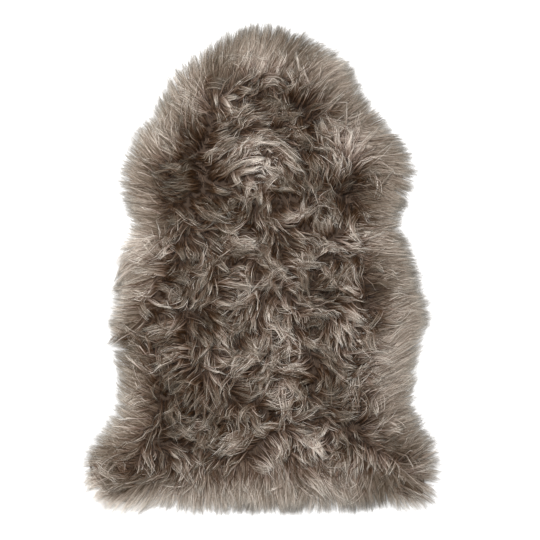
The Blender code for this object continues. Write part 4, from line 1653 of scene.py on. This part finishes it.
@dataclass(frozen=True)
class PackedWool:
    """The felted wool at the root of the locks, matte, and dark as painted shade, because little
    light reaches it.
    """

    # Painted shade: a dark colour for the gaps between the locks.
    dark: str = "#0F0A07"
    light: str = "#5E4938"
    crimp: float = 0.0024  # from wave to wave of the fibre
    wave: float = 0.314  # from wave to wave of the texture at a scale of 1
    tangle: float = 14.0
    detail: float = 2.0
    detail_scale: float = 0.35
    relief: float = 0.002
    relief_strength: float = 0.8
    roughness: float = 0.95

    def make(self) -> bpy.types.Material:
        """Makes the material.

        Returns:
            The material.
        """
        made, tree, shader = surface("packed_underwool")
        place = add(tree, "ShaderNodeTexCoord").outputs["Object"]
        fibre = {"Vector": place, "Scale": self.wave / self.crimp, "Distortion": self.tangle}
        fibre |= {"Detail": self.detail, "Detail Scale": self.detail_scale}
        fibre = add(tree, "ShaderNodeTexWave", fibre).outputs["Fac"]
        colours = {"Factor": fibre, "A": linear(self.dark), "B": linear(self.light)}
        relief = {"Height": fibre, "Strength": self.relief_strength, "Distance": self.relief}
        coat = {
            "Base Color": add(tree, "ShaderNodeMix", colours, data_type="RGBA"),
            "Normal": add(tree, "ShaderNodeBump", relief),
            "Roughness": self.roughness,
        }
        wire(shader, coat)
        return made


@dataclass(frozen=True)
class TannedHide:
    """The flesh side of a tanned sheepskin: pale brushed suede with a short nap, quite matte."""

    dark: str = "#B7A58F"
    light: str = "#D2C4B0"
    # Colour patches, paler and darker, where the nap lies another way: painted sheen.
    cloud_scale: float = 14.0  # patches of about 70 mm, where the nap lies another way
    cloud_detail: float = 5.0
    nap_scale: float = 900.0  # tufts of about 1 mm, coarser than real nap so that they show
    nap_detail: float = 3.0
    relief: float = 0.0006
    relief_strength: float = 0.4
    roughness: float = 0.9
    sheen: float = 0.2

    def make(self) -> bpy.types.Material:
        """Makes the material.

        Returns:
            The material.
        """
        made, tree, shader = surface("brushed_suede")
        place = add(tree, "ShaderNodeTexCoord").outputs["Object"]
        cloud, nap = (
            add(tree, "ShaderNodeTexNoise", {"Vector": place, "Scale": scale, "Detail": detail})
            for scale, detail in (
                (self.cloud_scale, self.cloud_detail),
                (self.nap_scale, self.nap_detail),
            )
        )
        colours = {"Factor": cloud, "A": linear(self.dark), "B": linear(self.light)}
        relief = {"Height": nap, "Strength": self.relief_strength, "Distance": self.relief}
        coat = {
            "Base Color": add(tree, "ShaderNodeMix", colours, data_type="RGBA"),
            "Normal": add(tree, "ShaderNodeBump", relief),
            "Roughness": self.roughness,
            "Sheen Weight": self.sheen,
        }
        wire(shader, coat)
        return made


@dataclass
class Studio:
    """The white floor, the soft light and the camera over the rug."""

    frame_width: float = 1.0514
    camera_height: float = 3.2
    sensor: float = 36.0  # mm
    middle: tuple[float, float] = (0.0185, 0.0010)
    floor_side: float = 4.0
    floor_drop: float = 0.0002
    floor_grey: float = 0.89
    floor_roughness: float = 0.9
    fill_light: float = 0.50
    lamp_size: float = 1.0
    lamp_power: float = 112.0
    lamp_place: tuple[float, float, float] = (-0.4, 0.5, 2.6)

    def build(self) -> None:
        """Sets up the floor, lights, world and camera."""
        self.floor()
        self.lights()
        self.camera()
        bpy.context.scene.view_settings.view_transform = "Standard"

    def floor(self) -> None:
        """Lays the floor."""
        turns = ((-1, -1), (1, -1), (1, 1), (-1, 1))
        corners = [(x * self.floor_side, y * self.floor_side, -self.floor_drop) for x, y in turns]
        made = mesh_object("floor", np.array(corners), [(0, 1, 2, 3)])
        paint, _, shader = surface("white_floor")
        grey = (self.floor_grey, self.floor_grey, self.floor_grey, 1.0)
        wire(shader, {"Base Color": grey, "Roughness": self.floor_roughness})
        made.data.materials.append(paint)

    def lights(self) -> None:
        """Sets the world's fill and one large soft light."""
        world = bpy.data.worlds.new("studio")
        bpy.context.scene.world = world
        world.use_nodes = True
        wire(world.node_tree.nodes["Background"], ((1.0, 1.0, 1.0, 1.0), self.fill_light))
        lamp = bpy.data.lights.new("key", "AREA")
        lamp.size, lamp.energy = self.lamp_size, self.lamp_power
        made = bpy.data.objects.new("key", lamp)
        bpy.context.scene.collection.objects.link(made)
        made.location = self.lamp_place
        made.rotation_euler = (-made.location).to_track_quat("-Z", "Y").to_euler()

    def camera(self) -> None:
        """Hangs the camera straight over the rug, with the neck at the top of the frame."""
        lens = bpy.data.cameras.new("camera")
        lens.sensor_width = self.sensor
        lens.lens = self.sensor * self.camera_height / self.frame_width
        made = bpy.data.objects.new("camera", lens)
        bpy.context.scene.collection.objects.link(made)
        made.location = (*self.middle, self.camera_height)
        bpy.context.scene.camera = made


def main() -> None:
    """Builds the rug and its studio."""
    logging.basicConfig(level=logging.INFO, format="%(name)s: %(message)s")
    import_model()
    pelt = Pelt()
    tufts = Tufts(pelt)
    lay = Lay(pelt, tufts)
    LOG.info("tufts: %d", len(tufts.routes))

    skin = Slab(pelt, "suede_hide", inset=0.050, foot=0.0, across=24, along=34, spread_steps=300)
    hide = skin.build(lambda net: np.full(net.shape, HIDE_THICKNESS), TannedHide().make())
    upper = (face for face in hide.data.polygons if face.normal.z > 0.5)
    area = sum(face.area for face in upper)
    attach(hide, "root")
    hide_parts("hide")
    LOG.info("hide: %.3f square metres", area)

    packed = Slab(
        pelt, "underwool", inset=0.026, foot=0.0028, across=80, along=104, spread_steps=1800
    )
    body = packed.build(lambda net: lay.height(net) - UNDERWOOL_DEPTH, PackedWool().make())
    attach(body, "root")
    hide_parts("fleece")
    LOG.info("underwool: %d faces", len(body.data.polygons))

    groom = Groom(pelt, tufts, lay)
    for locks in groom.layers:
        count = len(locks.route)
        LOG.info("layer: %d locks, %d triangles", count, count * locks.triangles())
    shears = Shears()
    wool = LongWool().make()
    total = 0
    for region, lines in groom.guides().items():
        piece = shears.grow(lines, region, wool)
        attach(piece, "root")
        piece.data.calc_loop_triangles()
        total += len(piece.data.loop_triangles)
        LOG.info("%s: %d triangles", piece.name, len(piece.data.loop_triangles))
    LOG.info("wool: %d triangles", total)
    Studio().build()


if __name__ == "__main__":
    main()
